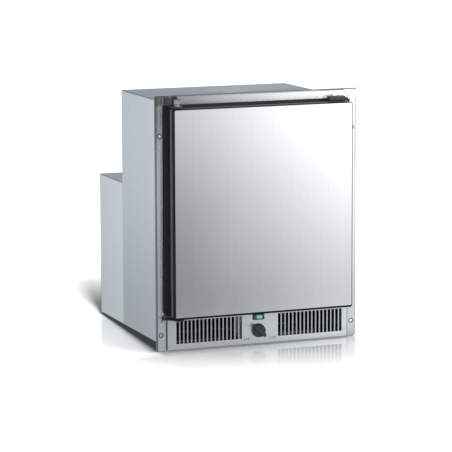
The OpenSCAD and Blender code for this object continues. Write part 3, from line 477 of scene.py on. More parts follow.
def hinge_mat():
    """Plated hinge parts: the door's leaves are painted black, a black that also stands in for shade beside the door's
    corners; the block over the top leaf is bare, with painted shade darkening it most towards its top.
    """
    g = G("hinge_plate")
    x, y, z = g.xyz()
    n1 = g.noise(None, 140.0, 5.0, 0.6, 0.4)
    n2 = g.noise(None, 2600.0, 2.0, 0.5)
    upper = g.rng(z, 0.4732, 0.4738, 1, 0)
    low = g.math("LESS_THAN", z, 0.2)
    leaf = g.math("MULTIPLY_ADD", low, g.math("SUBTRACT", g.rng(y, -0.0088, -0.0082, 1, 0), upper), upper)
    block = g.math("MULTIPLY", near(g, x, -0.1760, -0.1630), g.math("MULTIPLY", g.math("LESS_THAN", y, -0.0076), g.math("GREATER_THAN", z, 0.4745)))
    shade = g.math("MULTIPLY", g.rng(z, 0.476, 0.483, 0.72, 0.42), g.rng(z, 0.4838, 0.4846, 1.0, 0.25))
    shade = g.math("MULTIPLY_ADD", g.math("SUBTRACT", shade, 1.0), block, 1.0)
    bare = g.scale_color(g.rgb((0.66, 0.67, 0.68)), g.math("MULTIPLY", shade, g.math("MULTIPLY_ADD", g.math("SUBTRACT", n1, 0.5), 0.2, 1.0)))
    # black paint on the leaves, which also stands in for shade; lighter worn edges
    black_paint_and_shade = g.mix(g.math("MULTIPLY", g.edges(0.0006), g.rng(n2, 0.45, 0.6, 0, 0.5)), (0.013, 0.0145, 0.0155), (0.09, 0.09, 0.09))
    g.set(Base_Color=g.mix(leaf, bare, black_paint_and_shade), Metallic=g.math("SUBTRACT", 1.0, leaf), Roughness=g.math("MULTIPLY_ADD", n1, 0.16, 0.28),
          Normal=g.bump(n2, 0.00003, 0.5))
    return g.m


M["hinge_top"] = hinge_mat()
M["black_nylon"] = plastic("black_nylon", (0.020, 0.021, 0.022), rough=0.42, cell=0.0006, mottled=0.1)


def clear_bin():
    g = G("clear_moulding")
    n = g.noise(None, 70.0, 4.0, 0.6)
    g.set(Base_Color=g.mix(n, (0.86, 0.93, 0.97), (0.94, 0.98, 1.0)), Roughness=g.math("MULTIPLY_ADD", n, 0.16, 0.06), IOR=1.49,
          Transmission_Weight=0.82, Normal=g.bump(g.noise(None, 500.0, 2.0), 0.00003, 0.4))
    return g.m


M["clear_bin"] = clear_bin()


def lens():
    g = G("lamp_diffuser")
    x, y, z = g.xyz()
    rib = g.math("SINE", g.math("MULTIPLY", z, 2 * math.pi / 0.0022))
    n = g.noise(None, 300.0, 3.0)
    g.set(Base_Color=g.mix(n, (0.93, 0.93, 0.88), (0.98, 0.98, 0.94)), Roughness=0.35, Normal=g.bump(g.math("ADD", rib, n), 0.0002, 0.6),
          Emission_Color=(1.0, 0.96, 0.86, 1.0), Emission_Strength=1.6, Transmission_Weight=0.2)
    return g.m


M["lamp_lens"] = lens()


def rocker_mat():
    """Green rocker with a lamp behind its middle: bright core, dark ends."""
    g = G("lit_rocker")
    x, y, z = g.xyz()
    n = g.noise(None, 500.0, 3.0)
    core = g.math("MULTIPLY", near(g, x, -0.0040, 0.0068, 0.0012), g.rng(g.math("ABSOLUTE", g.math("SUBTRACT", z, 0.0538)), 0.0012, 0.0046, 1, 0.30, True))
    col = g.mix(core, (0.003, 0.040, 0.022), (0.10, 0.46, 0.30))
    em = g.mix(core, (0.001, 0.050, 0.026), (0.20, 0.54, 0.38))
    g.set(Base_Color=col, Roughness=g.math("MULTIPLY_ADD", n, 0.12, 0.14), Coat_Weight=0.6, Coat_Roughness=0.08,
          Emission_Color=em, Emission_Strength=0.55, Normal=g.bump(n, 0.00003, 0.4))
    return g.m


M["green_lens"] = rocker_mat()


def ink():
    g = G("printed_ink")
    n = g.noise(None, 2600.0, 3.0)
    g.set(Base_Color=g.mix(n, (0.06, 0.065, 0.07), (0.13, 0.135, 0.14)), Roughness=0.55, Normal=g.bump(n, 0.00002, 0.4))
    return g.m


M["ink"] = ink()
SLOT_OF = {s["node"]: s["material_slot"] for s in frame["record"]["subparts"]}


# ------------------------------------------------------------------ mesh helpers
def new_piece(name, bm, body, mats, replaces=(), smooth_angle=32.0):
    me = bpy.data.meshes.new(name)
    bm.to_mesh(me)
    bm.free()
    for m in mats if isinstance(mats, (list, tuple)) else [mats]:
        me.materials.append(m)
    me.polygons.foreach_set("use_smooth", [True] * len(me.polygons))
    me.set_sharp_from_angle(angle=math.radians(smooth_angle))
    o = bpy.data.objects.new(name, me)
    COLL.objects.link(o)
    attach(o, body)
    if replaces:
        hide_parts(*replaces)
    return o


def body_of(node):
    return NODES[node]["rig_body"]


def shell(node, mat=None, w=0.0004, seg=2, ang=35.0, name=None, pick=None, wide=None):
    """The CAD node's own shape with rolled edges: coplanar triangles merged, then every sharp edge rounded by w."""
    me = NODES[node].data
    bm = bmesh.new()
    bm.from_mesh(me)
    for layer in list(bm.loops.layers.float_vector):
        bm.loops.layers.float_vector.remove(layer)
    bmesh.ops.remove_doubles(bm, verts=bm.verts, dist=2e-6)
    bmesh.ops.dissolve_limit(bm, angle_limit=math.radians(0.6), verts=bm.verts, edges=bm.edges)
    if wide:
        radius, test = wide
        es = [e for e in bm.edges if len(e.link_faces) == 2 and e.calc_face_angle(0) > math.radians(50) and test(e)]
        if es:
            bmesh.ops.bevel(bm, geom=es, offset=radius, offset_type="OFFSET", segments=5, profile=0.5, affect="EDGES", clamp_overlap=True)
    if w:
        es = [e for e in bm.edges if len(e.link_faces) == 2 and e.calc_face_angle(0) > math.radians(ang) and (pick is None or pick(e))]
        if es:
            bmesh.ops.bevel(bm, geom=es, offset=w, offset_type="OFFSET", segments=seg, profile=0.5, affect="EDGES", clamp_overlap=True)
    bmesh.ops.triangulate(bm, faces=[f for f in bm.faces if len(f.verts) > 4])
    for f in bm.faces:
        f.material_index = 0
    o = new_piece(name or node + "_skin", bm, body_of(node), mat or M[SLOT_OF[node]], (node,), 38.0)
    mod = o.modifiers.new("weighted", "WEIGHTED_NORMAL")
    mod.keep_sharp = True
    mod.weight = 100
    mod.thresh = 0.001
    return o


def rect_loop(x0, x1, z0, z1, u, r, n=7):
    """Points round a rectangle drawn in by u, corners rounded by r, counter-clockwise seen from -Y."""
    r = max(r, 0.00025)
    x0, x1, z0, z1 = x0 + u, x1 - u, z0 + u, z1 - u
    pts = []
    for cx, cz, a0 in ((x1 - r, z1 - r, 0), (x0 + r, z1 - r, 90), (x0 + r, z0 + r, 180), (x1 - r, z0 + r, 270)):
        for i in range(n + 1):
            a = math.radians(a0 + 90.0 * i / n)
            pts.append((cx + r * math.cos(a), cz + r * math.sin(a)))
    return pts


def sweep_frame(bm, rect, radius, profile, n=7):
    """Carries a closed profile of (inset, y) round a rounded rectangle."""
    rings = []
    for u, y in profile:
        rings.append([bm.verts.new((x, y, z)) for x, z in rect_loop(*rect, u, radius - u, n)])
    k, c = len(profile), len(rings[0])
    for i in range(k):
        a, b = rings[i], rings[(i + 1) % k]
        for j in range(c):
            bm.faces.new((a[j], a[(j + 1) % c], b[(j + 1) % c], b[j]))
    bmesh.ops.recalc_face_normals(bm, faces=bm.faces)


def arc(cx, cy, r, a0, a1, n):
    return [(cx + r * math.cos(math.radians(a0 + (a1 - a0) * i / n)), cy + r * math.sin(math.radians(a0 + (a1 - a0) * i / n))) for i in range(n + 1)]


def fillet(pts, rad, n=6):
    """A path through pts with its corners rounded."""
    pts = [Vector(p) for p in pts]
    out = [pts[0]]
    for i in range(1, len(pts) - 1):
        p, a, b = pts[i], pts[i - 1], pts[i + 1]
        da, db = (a - p), (b - p)
        la, lb = da.length, db.length
        da.normalize(), db.normalize()
        ang = da.angle(db)
        if ang > math.radians(178):
            out.append(p)
            continue
        t = min(rad / math.tan(ang / 2), la * 0.48, lb * 0.48)
        r = t * math.tan(ang / 2)
        c = p + (da + db).normalized() * (r / math.sin(ang / 2))
        s, e = p + da * t - c, p + db * t - c
        tot = s.angle(e)
        for k in range(n + 1):
            f = k / n
            v = (s * math.sin((1 - f) * tot) + e * math.sin(f * tot)) / max(math.sin(tot), 1e-9)
            out.append(c + v)
    out.append(pts[-1])
    return out


def tube(bm, path, r, n=14, cap=True, closed=False, radii=None):
    """Sweeps a circle along a path with a frame that doesn't twist."""
    path = [Vector(p) for p in path]
    k = len(path)
    tang = []
    for i in range(k):
        a = path[(i - 1) % k] if closed or i > 0 else path[i]
        b = path[(i + 1) % k] if closed or i < k - 1 else path[i]
        tang.append((b - a).normalized())
    up = Vector((0, 0, 1)) if abs(tang[0].z) < 0.9 else Vector((1, 0, 0))
    nrm = (up - tang[0] * up.dot(tang[0])).normalized()
    rings = []
    for i in range(k):
        t = tang[i]
        nrm = (nrm - t * nrm.dot(t)).normalized()
        bi = t.cross(nrm)
        rr = radii[i] if radii else r
        rings.append([bm.verts.new(path[i] + (nrm * math.cos(2 * math.pi * j / n) + bi * math.sin(2 * math.pi * j / n)) * rr) for j in range(n)])
    for i in range(k if closed else k - 1):
        a, b = rings[i], rings[(i + 1) % k]
        for j in range(n):
            bm.faces.new((a[j], a[(j + 1) % n], b[(j + 1) % n], b[j]))
    if cap and not closed:
        bm.faces.new(list(reversed(rings[0])))
        bm.faces.new(rings[-1])


def lathe(bm, prof, centre, axis="z", n=48):
    """Revolves (radius, height) points about an axis through centre; radius 0 closes the end."""
    c = Vector(centre)
    rings = []
    for r, h in prof:
        ring = []
        for j in range(1 if r < 1e-7 else n):
            a = 2 * math.pi * j / n
            p = {"z": (r * math.cos(a), r * math.sin(a), h), "y": (r * math.cos(a), h, r * math.sin(a)), "x": (h, r * math.cos(a), r * math.sin(a))}[axis]
            ring.append(bm.verts.new(c + Vector(p)))
        rings.append(ring)
    for a, b in zip(rings, rings[1:]):
        if len(a) == 1 and len(b) == 1:
            continue
        for j in range(n):
            if len(a) == 1:
                bm.faces.new((a[0], b[(j + 1) % n], b[j]))
            elif len(b) == 1:
                bm.faces.new((a[j], a[(j + 1) % n], b[0]))
            else:
                bm.faces.new((a[j], a[(j + 1) % n], b[(j + 1) % n], b[j]))


def block(bm, a, b, bev=0.0, seg=2):
    made = bmesh.ops.create_cube(bm, size=1.0)["verts"]
    a, b = Vector(a), Vector(b)
    for v in made:
        v.co = Vector([a[i] + (v.co[i] + 0.5) * (b[i] - a[i]) for i in range(3)])
    if bev:
        es = list({e for v in made for e in v.link_edges})
        bmesh.ops.bevel(bm, geom=es, offset=bev, offset_type="OFFSET", segments=seg, profile=0.5, affect="EDGES", clamp_overlap=True)


def finish_normals(bm):
    bmesh.ops.recalc_face_normals(bm, faces=bm.faces)
    return bm


# ------------------------------------------------------------------ outside shells, from the CAD shapes
shell("cabinet_wrap", w=0.0007, seg=3)
shell("machine_housing", M["step_sheet"], w=0.0007, seg=3)
shell("upper_back_panel", w=0.0005)
shell("machine_back_cover", w=0.0004)
shell("mounting_flange", w=0.0006, seg=3)
shell("front_frame", w=0.0003)
shell("grille_panel", M["grille_steel"], w=0.0004, seg=3)
shell("door_front_panel", M["door_steel"], w=0.0004, seg=3)
shell("top_hinge_cover", w=0.0008, seg=3)
shell("top_hinge_bracket", M["hinge_top"], w=0.0004)
shell("bottom_hinge_bracket", M["hinge_top"], w=0.0004)
shell("latch_housing", w=0.0006, seg=3)
shell("latch_bolt", w=0.0004)
shell("latch_keeper", M["keeper_steel"], w=0.0004)
shell("switch_housing", w=0.0004, seg=3)
shell("switch_rocker", w=0.0005, seg=3)
shell("temperature_knob", w=0.0005, seg=3)
for n in ("back_cover_screws", "hinge_screws", "keeper_screws"):
    shell(n, w=0.00012, seg=2, ang=40)
for n in ("base_pan", "duct_deck", "air_divider", "grille_clips", "control_box", "thermostat_body", "lamp_base", "evaporator_plate",
          "drip_trough", "compressor_base", "compressor_terminal_cover", "fan_frame", "power_inlet", "compressor_bolts"):
    shell(n, w=0.0003)
shell("lamp_lens", w=0.0008, seg=3)
shell("inner_liner", w=0.0007, seg=3)
shell("door_liner", w=0.0012, seg=3)
shell("door_shelf_upper", w=0.0007, seg=3)
shell("door_shelf_lower", w=0.0007, seg=3)
for n in ("insulation_foam", "door_foam"):
    shell(n, w=0.001)

# ------------------------------------------------------------------ door edge moulding
lo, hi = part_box("door_trim_frame")
rect = (lo.x, hi.x, lo.z, hi.z)
yf = lo.y
prof = [(0.0088, yf + 0.0009), (0.0088, yf + 0.0026), (0.0036, yf + 0.0026), (0.0036, hi.y), (0.0020, hi.y)]
prof += arc(0.0020, hi.y - 0.0006, 0.0006, 90, 180, 3)[1:]
prof += [(0.0014, yf + 0.0262), (0.0013, yf + 0.0256)]
prof += [(0.0007, yf + 0.0250), (0.0002, yf + 0.0238), (0.0, yf + 0.0205), (0.0002, yf + 0.0172), (0.0008, yf + 0.0160)]
prof += [(0.0019, yf + 0.0156), (0.0022, yf + 0.0148), (0.0022, yf + 0.0136), (0.0018, yf + 0.0130)]
prof += [(0.0003, yf + 0.0126), (0.0, yf + 0.0118), (0.0, yf + 0.0014)]
prof += arc(0.0008, yf + 0.0008, 0.0008, 180, 270, 4)[1:]
prof += [(0.00125, yf), (0.0015, yf + 0.0003), (0.0015, yf + 0.0009)]
bm = bmesh.new()
sweep_frame(bm, rect, 0.004, prof, 8)
pl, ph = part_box("door_front_panel")
block(bm, (lo.x + 0.0020, yf + 0.0004, lo.z + 0.0006), (hi.x - 0.0020, yf + 0.0024, pl.z - 0.0002), 0.0004)
new_piece("door_edge_moulding", bm, "door", M["trim"], ("door_trim_frame",), 50)

# ------------------------------------------------------------------ door seal: flange, bellows and magnet pocket
lo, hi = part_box("door_gasket")
rect = (lo.x, hi.x, lo.z, hi.z)
y0, y1 = lo.y, hi.y
prof = [(0.0, y0 + 0.0004), (0.0, y0 + 0.0018)]
prof += [(0.0008, y0 + 0.0026), (0.0030, y0 + 0.0034), (0.0044, y0 + 0.0046), (0.0036, y0 + 0.0058), (0.0020, y0 + 0.0064)]
prof += [(0.0010, y0 + 0.0070), (0.0014, y0 + 0.0078), (0.0008, y0 + 0.0086), (0.0002, y0 + 0.0096), (0.0, y0 + 0.0108), (0.0006, y1 - 0.0003), (0.0014, y1)]
prof += [(0.0108, y1), (0.0118, y1 - 0.0004), (0.0125, y0 + 0.0106), (0.0122, y0 + 0.0094), (0.0112, y0 + 0.0086), (0.0104, y0 + 0.0078)]
prof += [(0.0112, y0 + 0.0070), (0.0118, y0 + 0.0060), (0.0106, y0 + 0.0050), (0.0098, y0 + 0.0042), (0.0112, y0 + 0.0032), (0.0130, y0 + 0.0024), (0.0135, y0 + 0.0014), (0.0135, y0)]
prof += [(0.0004, y0)]
bm = bmesh.new()
sweep_frame(bm, rect, 0.008, prof, 8)
new_piece("door_seal_profile", bm, "door", M["gasket_rubber"], ("door_gasket",), 60)

# ------------------------------------------------------------------ wire shelves
for node in ("shelf_upper", "shelf_lower"):
    lo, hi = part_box(node)
    r = 0.0022
    x1, ya, yb = hi.x - r * 1.15, lo.y + r * 1.15, hi.y - r * 1.15
    z = lo.z + r * 1.15
    bm = bmesh.new()
    loop = [(-x1, ya, z), (x1, ya, z), (x1, yb, z), (-x1, yb, z)]
    path = []
    rr = 0.008
    for cx, cy, a0 in ((x1 - rr, yb - rr, 0), (-x1 + rr, yb - rr, 90), (-x1 + rr, ya + rr, 180), (x1 - rr, ya + rr, 270)):
        for i in range(7):
            a = math.radians(a0 + 15 * i)
            path.append((cx + rr * math.cos(a), cy + rr * math.sin(a), z))
    tube(bm, path, r, 14, closed=True)
    for y in (ya + (yb - ya) * 0.33, ya + (yb - ya) * 0.66):
        tube(bm, [(-x1 + 0.001, y, z), (x1 - 0.001, y, z)], r, 12)
    for i in range(-7, 8):
        x = i * 0.0174
        p = [(x, ya - 0.0008, z + 0.0006), (x, ya + 0.0004, z + 0.0022), (x, ya + 0.003, z + 0.0029), (x, yb - 0.003, z + 0.0029), (x, yb + 0.0006, z + 0.0024)]
        tube(bm, p, 0.0014, 10)
    zt = hi.z - r * 1.15
    tube(bm, fillet([(-x1, yb - 0.002, z), (-x1, yb - 0.0002, zt), (x1, yb - 0.0002, zt), (x1, yb - 0.002, z)], 0.006, 6), r * 0.95, 12)
    for s in (-1, 1):
        for y in (ya + (yb - ya) * 0.33, ya + (yb - ya) * 0.66):
            bmesh.ops.create_uvsphere(bm, u_segments=12, v_segments=8, radius=r * 1.12, matrix=Matrix.Translation((s * x1, y, z)))
    finish_normals(bm)
    new_piece(node + "_wires", bm, "cabinet", M["coated_wire"], (node,), 60)

# ------------------------------------------------------------------ copper work
bm = bmesh.new()
lo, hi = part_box("compressor_shell")
cx, cy = (lo.x + hi.x) / 2, (lo.y + hi.y) / 2
runs = [
    ([(cx + 0.030, cy + 0.022, 0.1801), (cx + 0.030, cy + 0.022, 0.214), (-0.131, cy + 0.022, 0.214), (-0.131, 0.294, 0.214), (-0.131, 0.294, 0.1806)], 0.003, 0.014),
    ([(cx - 0.030, cy - 0.022, 0.1721), (cx - 0.030, cy - 0.022, 0.262), (0.060, cy - 0.022, 0.262), (0.060, 0.2335, 0.262)], 0.004, 0.016),
    ([(-0.030, 0.392, 0.1701), (-0.030, 0.392, 0.240), (-0.030, 0.306, 0.240), (0.0535, 0.306, 0.262), (0.0535, 0.2335, 0.262)], 0.0014, 0.012),
    ([(-0.149, 0.294, 0.0614), (-0.149, 0.294, 0.044), (-0.060, 0.294, 0.044), (-0.030, 0.392, 0.044), (-0.030, 0.392, 0.0599)], 0.0024, 0.010),
]
for pts, r, f in runs:
    tube(bm, fillet(pts, f, 8), r, 14)
    for a, b in ((pts[0], pts[1]), (pts[-1], pts[-2])):
        d = (Vector(b) - Vector(a)).normalized()
        p = Vector(a)
        tube(bm, [p + d * 0.0002, p + d * 0.0012, p + d * 0.0050, p + d * 0.0064], r, 14, radii=[r * 1.25, r * 1.35, r * 1.30, r * 1.02])
finish_normals(bm)
new_piece("refrigerant_pipework", bm, "cabinet", M["copper"], ("refrigerant_pipes",), 60)

bm = bmesh.new()
zs = [0.066 + 0.022 * i for i in range(6)]
xs = [-0.149 if i % 2 == 0 else -0.131 for i in range(6)]
path = []
for i in range(6):
    ya, yb = (0.296, 0.402) if i % 2 == 0 else (0.402, 0.296)
    path += [(xs[i], ya, zs[i]), (xs[i], yb, zs[i])]
full = []
for i in range(6):
    a, b = Vector(path[2 * i]), Vector(path[2 * i + 1])
    full += [a, a.lerp(b, 0.5), b]
    if i < 5:
        c = Vector(path[2 * i + 2])
        mid = (b + c) / 2
        out = 1 if b.y > 0.35 else -1
        rad = (c - b).length / 2
        side = (b - mid).normalized()
        for k in range(1, 9):
            t = math.pi * k / 9
            full.append(mid + side * rad * math.cos(t) + Vector((0, out * min(rad, 0.0075) * math.sin(t), 0)))
tube(bm, full, 0.00393, 14)
finish_normals(bm)
new_piece("condenser_serpentine", bm, "cabinet", M["copper"], ("condenser_tubes",), 60)

# ------------------------------------------------------------------ wiring loom: three twisted cores and ties
bm = bmesh.new()
pts = [(0.020, 0.041, 0.052), (0.020, 0.296, 0.052), (0.020, 0.296, 0.216), (0.112, 0.296, 0.216), (0.112, 0.296, 0.250), (0.112, 0.4055, 0.250)]
centre = fillet(pts, 0.016, 8)
dense = []
for a, b in zip(centre, centre[1:]):
    steps = max(1, int((b - a).length / 0.004))
    dense += [a.lerp(b, i / steps) for i in range(steps)]
dense.append(centre[-1])
acc = 0.0
dist = [0.0]
for a, b in zip(dense, dense[1:]):
    acc += (b - a).length
    dist.append(acc)
for core in range(3):
    path = []
    for i, p in enumerate(dense):
        t = (dense[min(i + 1, len(dense) - 1)] - dense[max(i - 1, 0)]).normalized()
        up = Vector((0, 0, 1)) if abs(t.z) < 0.8 else Vector((0, 1, 0))
        a = (up - t * up.dot(t)).normalized()
        b = t.cross(a)
        ph = dist[i] / 0.045 * 2 * math.pi + core * 2 * math.pi / 3
        path.append(p + (a * math.cos(ph) + b * math.sin(ph)) * 0.00145)
    tube(bm, path, 0.00125, 8)
for i in range(6, len(dense) - 4, 16):
    d = (dense[i + 1] - dense[i]).normalized()
    tube(bm, [dense[i], dense[i] + d * 0.0030], 0.00285, 12)
finish_normals(bm)
new_piece("wiring_bundle", bm, "cabinet", M["cable_sheath"], ("wiring_loom",), 60)

# ------------------------------------------------------------------ fan rotor with curved blades
lo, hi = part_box("fan_rotor")
ff_lo, ff_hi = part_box("fan_frame")
fy, fz = (ff_lo.y + ff_hi.y) / 2, (ff_lo.z + ff_hi.z) / 2
fx = (ff_lo.x + ff_hi.x) / 2
bm = bmesh.new()
lathe(bm, [(0, -0.0088), (0.014, -0.0088), (0.0186, -0.0082), (0.0198, -0.0070), (0.0200, 0.0082), (0.0196, 0.0086), (0.0178, 0.0086), (0.0175, 0.0080),
           (0.0175, -0.0062), (0.0160, -0.0066), (0.0021, -0.0066), (0.0020, 0.0120), (0.0016, 0.0125), (0, 0.0125)], (fx, fy, fz), "x", 48)
for blade in range(7):
    rings = []
    for i in range(9):
        s = i / 8
        r = 0.0192 + s * (0.0525 - 0.0192)
        pitch = math.radians(46 - 18 * s)
        chord = 0.0180 + 0.0085 * s
        sweep = math.radians(16) * s * s
        ring = []
        for side in (1, -1):
            cs = range(9) if side > 0 else range(7, 0, -1)
            for j in cs:
                c = j / 8
                th = 0.0010 * (1 - (2 * c - 1) ** 2) ** 0.5 + 0.00012
                camber = 0.0022 * (1 - (2 * c - 1) ** 2)
                u = (c - 0.5) * chord
                ax = u * math.sin(pitch) + (camber + side * th) * math.cos(pitch)
                tg = u * math.cos(pitch) - (camber + side * th) * math.sin(pitch)
                a = 2 * math.pi * blade / 7 + tg / r + sweep
                ring.append(bm.verts.new((fx + max(-0.0082, min(0.0082, ax)), fy + r * math.cos(a), fz + r * math.sin(a))))
        rings.append(ring)
    k = len(rings[0])
    for a, b in zip(rings, rings[1:]):
        for j in range(k):
            bm.faces.new((a[j], a[(j + 1) % k], b[(j + 1) % k], b[j]))
    bm.faces.new(list(reversed(rings[0])))
    bm.faces.new(rings[-1])
bmesh.ops.triangulate(bm, faces=[f for f in bm.faces if len(f.verts) > 4])
finish_normals(bm)
new_piece("fan_impeller", bm, "fan", M["dark_plastic"], ("fan_rotor",), 45)

# ------------------------------------------------------------------ small printed details
gl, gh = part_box("grille_panel")
face = gl.y
bm = bmesh.new()
for x0, x1, z0, h in ((-0.0322, -0.0176, 0.0098, 0.0009), (0.0226, 0.0362, 0.0092, 0.0009)):
    block(bm, (x0, face - 0.00006, z0), (x1, face + 0.0002, z0 + h))
    for k in range(4):
        c = x0 + 0.0012 + k * 0.0034
        block(bm, (c, face - 0.00006, z0 + 0.0020), (c + 0.0018, face + 0.0002, z0 + 0.0026 + 0.0005 * k))
finish_normals(bm)
new_piece("dial_marks", bm, "cabinet", M["ink"])

for n, o in NODES.items():
    if not o.hide_render:
        o.data.materials.clear()
        o.data.materials.append(M["black_nylon"] if n == "thrust_washers" else M[SLOT_OF[n]])

# ------------------------------------------------------------------ studio
def stage_plane(name, size, matrix, mat):
    me = bpy.data.meshes.new(name)
    h = size / 2 if not isinstance(size, tuple) else None
    sx, sy = (h, h) if h else (size[0] / 2, size[1] / 2)
    me.from_pydata([(-sx, -sy, 0), (sx, -sy, 0), (sx, sy, 0), (-sx, sy, 0)], [], [(0, 1, 2, 3)])
    me.materials.append(mat)
    o = bpy.data.objects.new(name, me)
    o.matrix_world = matrix
    COLL.objects.link(o)
    o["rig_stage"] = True
    return o


def floor_material():
    """Pale glossy floor: white, with a mirror image that fades with distance and a tight painted shadow where the
    cabinet stands.
    """
    g = G("pale_studio_floor")
    nt = g.nt
    x, y, z = g.xyz()
    lp = g.node("ShaderNodeLightPath")
    rad = g.math("SQRT", g.math("ADD", g.math("MULTIPLY", x, x), g.math("POWER", g.math("SUBTRACT", y, 0.15), 2.0)))
    # how far the point lies outside the cabinet's footprint
    ox = g.math("MAXIMUM", g.math("SUBTRACT", g.math("ABSOLUTE", x), 0.177), 0.0)
    of = g.math("MAXIMUM", g.math("SUBTRACT", -0.010, y), 0.0)
    ob = g.math("MAXIMUM", g.math("SUBTRACT", y, 0.421), 0.0)
    oy = g.math("ADD", of, ob)
    off = g.math("SQRT", g.math("ADD", g.math("MULTIPLY", ox, ox), g.math("MULTIPLY", oy, oy)))
    # painted shadow thrown back past the left rear corner, and a painted dark wedge of shade behind the flange's left
    # edge
    left = g.math("SUBTRACT", -0.177, x)
    wedge_w = g.rng(y, -0.006, 0.44, 0.046, 0.006)
    t = g.math("DIVIDE", left, wedge_w)
    wedge = g.math("MULTIPLY", g.rng(t, 0.5, 1.2, 1.0, 0.0, True), g.math("MULTIPLY", g.rng(y, -0.016, -0.002, 0, 1, True), g.rng(y, 0.40, 0.46, 1, 0, True)))
    wedge = g.math("MULTIPLY", wedge, g.math("GREATER_THAN", left, -0.02))
    along = g.math("SUBTRACT", y, 0.421)
    edge = g.math("ADD", left, g.math("MULTIPLY_ADD", along, 0.152, -0.004))
    soft = g.math("MULTIPLY_ADD", g.math("MAXIMUM", along, 0.0), 0.20, 0.005)
    back = g.math("MULTIPLY", g.rng(g.math("DIVIDE", edge, soft), -0.6, 0.6, 1.0, 0.0, True), g.rng(along, -0.02, 0.004, 0, 1, True))
    back = g.math("MULTIPLY", g.math("MULTIPLY", back, g.rng(x, -0.04, 0.08, 1, 0, True)), g.rng(along, 0.09, 0.42, 0.83, 0.28))
    back = g.math("MULTIPLY", back, g.rng(along, 0.34, 0.50, 1, 0, True))
    # painted contact shadow on the floor along the cabinet's front
    front = g.math("MULTIPLY", g.rng(of, 0.0, 0.055, 0.66, 0.0), g.rng(g.math("ABSOLUTE", x), 0.20, 0.215, 1, 0, True))
    front = g.math("MULTIPLY", g.math("MULTIPLY", front, g.rng(x, 0.16, 0.205, 1, 0.35)), g.math("LESS_THAN", y, -0.004))
    shade = g.math("MAXIMUM", g.math("MAXIMUM", g.math("MULTIPLY", wedge, 0.97), back), front)
    # painted shade: just ahead of the front the floor is darker and glows less
    ahead = g.math("MULTIPLY", g.rng(of, 0.0, 0.06, 0, 1, True), g.rng(g.math("ABSOLUTE", g.math("SUBTRACT", x, -0.04)), 0.16, 0.34, 1, 0, True))
    pale = g.scale_color(g.mix(g.noise(None, 3.0, 3.0), (0.93, 0.935, 0.94), (0.95, 0.955, 0.96)), g.math("SUBTRACT", 1.0, g.math("MULTIPLY", ahead, g.rng(off, 0.10, 0.42, 0.165, 0.0, True))))
    # the floor glows, less near the cabinet and not under the painted shadows
    g.set(Base_Color=g.mix(shade, pale, (0.030, 0.034, 0.038)), Roughness=0.9, Specular_IOR_Level=0.0,
          Normal=g.bump(g.noise(None, 60.0, 3.0), 0.00002, 0.2), Emission_Color=(1.0, 1.0, 1.0, 1.0),
          Emission_Strength=g.math("MULTIPLY", g.math("SUBTRACT", g.rng(rad, 0.15, 1.0, 0.18, 0.40, True), g.math("MULTIPLY", ahead, g.rng(off, 0.14, 0.44, 0.20, 0.0, True))), g.math("SUBTRACT", 1.0, shade)))
    gl = g.node("ShaderNodeBsdfAnisotropic")
    gl.inputs["Color"].default_value = (0.97, 0.98, 1.0, 1)
    gl.inputs["Roughness"].default_value = 0.034
    gl.inputs["Anisotropy"].default_value = 0.5
    aim = g.node("ShaderNodeCombineXYZ")
    aim.inputs[0].default_value, aim.inputs[1].default_value = 0.9319, -0.3627
    nt.links.new(aim.outputs[0], gl.inputs["Tangent"])
    length = g.rng(x, -0.15, 0.10, 0.082, 0.155)
    fade = g.math("MULTIPLY", g.math("EXPONENT", g.math("MULTIPLY", g.math("DIVIDE", off, length), -1.0)), g.rng(x, -0.15, 0.10, 0.58, 0.76))
    aside = g.rng(ox, 0.020, 0.045, 0, 1, True)
    beside = g.rng(off, 0.0, 0.17, 0.42, 0.0)
    fade = g.math("ADD", g.math("MULTIPLY", fade, g.math("SUBTRACT", 1.0, aside)), g.math("MULTIPLY", beside, aside))
    fade = g.math("MULTIPLY", fade, g.rng(y, 0.30, 0.42, 1, 0, True))
    wet = g.node("ShaderNodeMixShader")
    nt.links.new(g.math("MULTIPLY", fade, g.math("SUBTRACT", 1.0, wedge)), wet.inputs[0])
    nt.links.new(g.b.outputs[0], wet.inputs[1])
    nt.links.new(gl.outputs[0], wet.inputs[2])
    # in reflections the floor is a glowing panel, dimmer near the cabinet as painted shade and brighter to the right in
    # front
    far = g.rng(rad, 0.3, 2.6, 0.52, 0.86, True)
    right = g.math("MULTIPLY", g.rng(x, -0.18, 0.36, 0.0, 0.62), g.rng(y, -0.1, 0.0, 1, 0, True))
    level = g.math("ADD", far, right)
    em = g.node("ShaderNodeEmission")
    em.inputs[0].default_value = (0.93, 0.97, 1.0, 1)
    nt.links.new(level, em.inputs[1])
    mixs = g.node("ShaderNodeMixShader")
    nt.links.new(lp.outputs["Is Glossy Ray"], mixs.inputs[0])
    nt.links.new(wet.outputs[0], mixs.inputs[1])
    nt.links.new(em.outputs[0], mixs.inputs[2])
    geo = g.node("ShaderNodeNewGeometry")
    tr = g.node("ShaderNodeBsdfTransparent")
    rear = g.node("ShaderNodeMixShader")
    nt.links.new(geo.outputs["Backfacing"], rear.inputs[0])
    nt.links.new(mixs.outputs[0], rear.inputs[1])
    nt.links.new(tr.outputs[0], rear.inputs[2])
    nt.links.new(rear.outputs[0], g.out.inputs[0])
    return g.m


floor = stage_plane("studio_floor", 60.0, Matrix.Translation((0, 0, -0.0004)), floor_material())


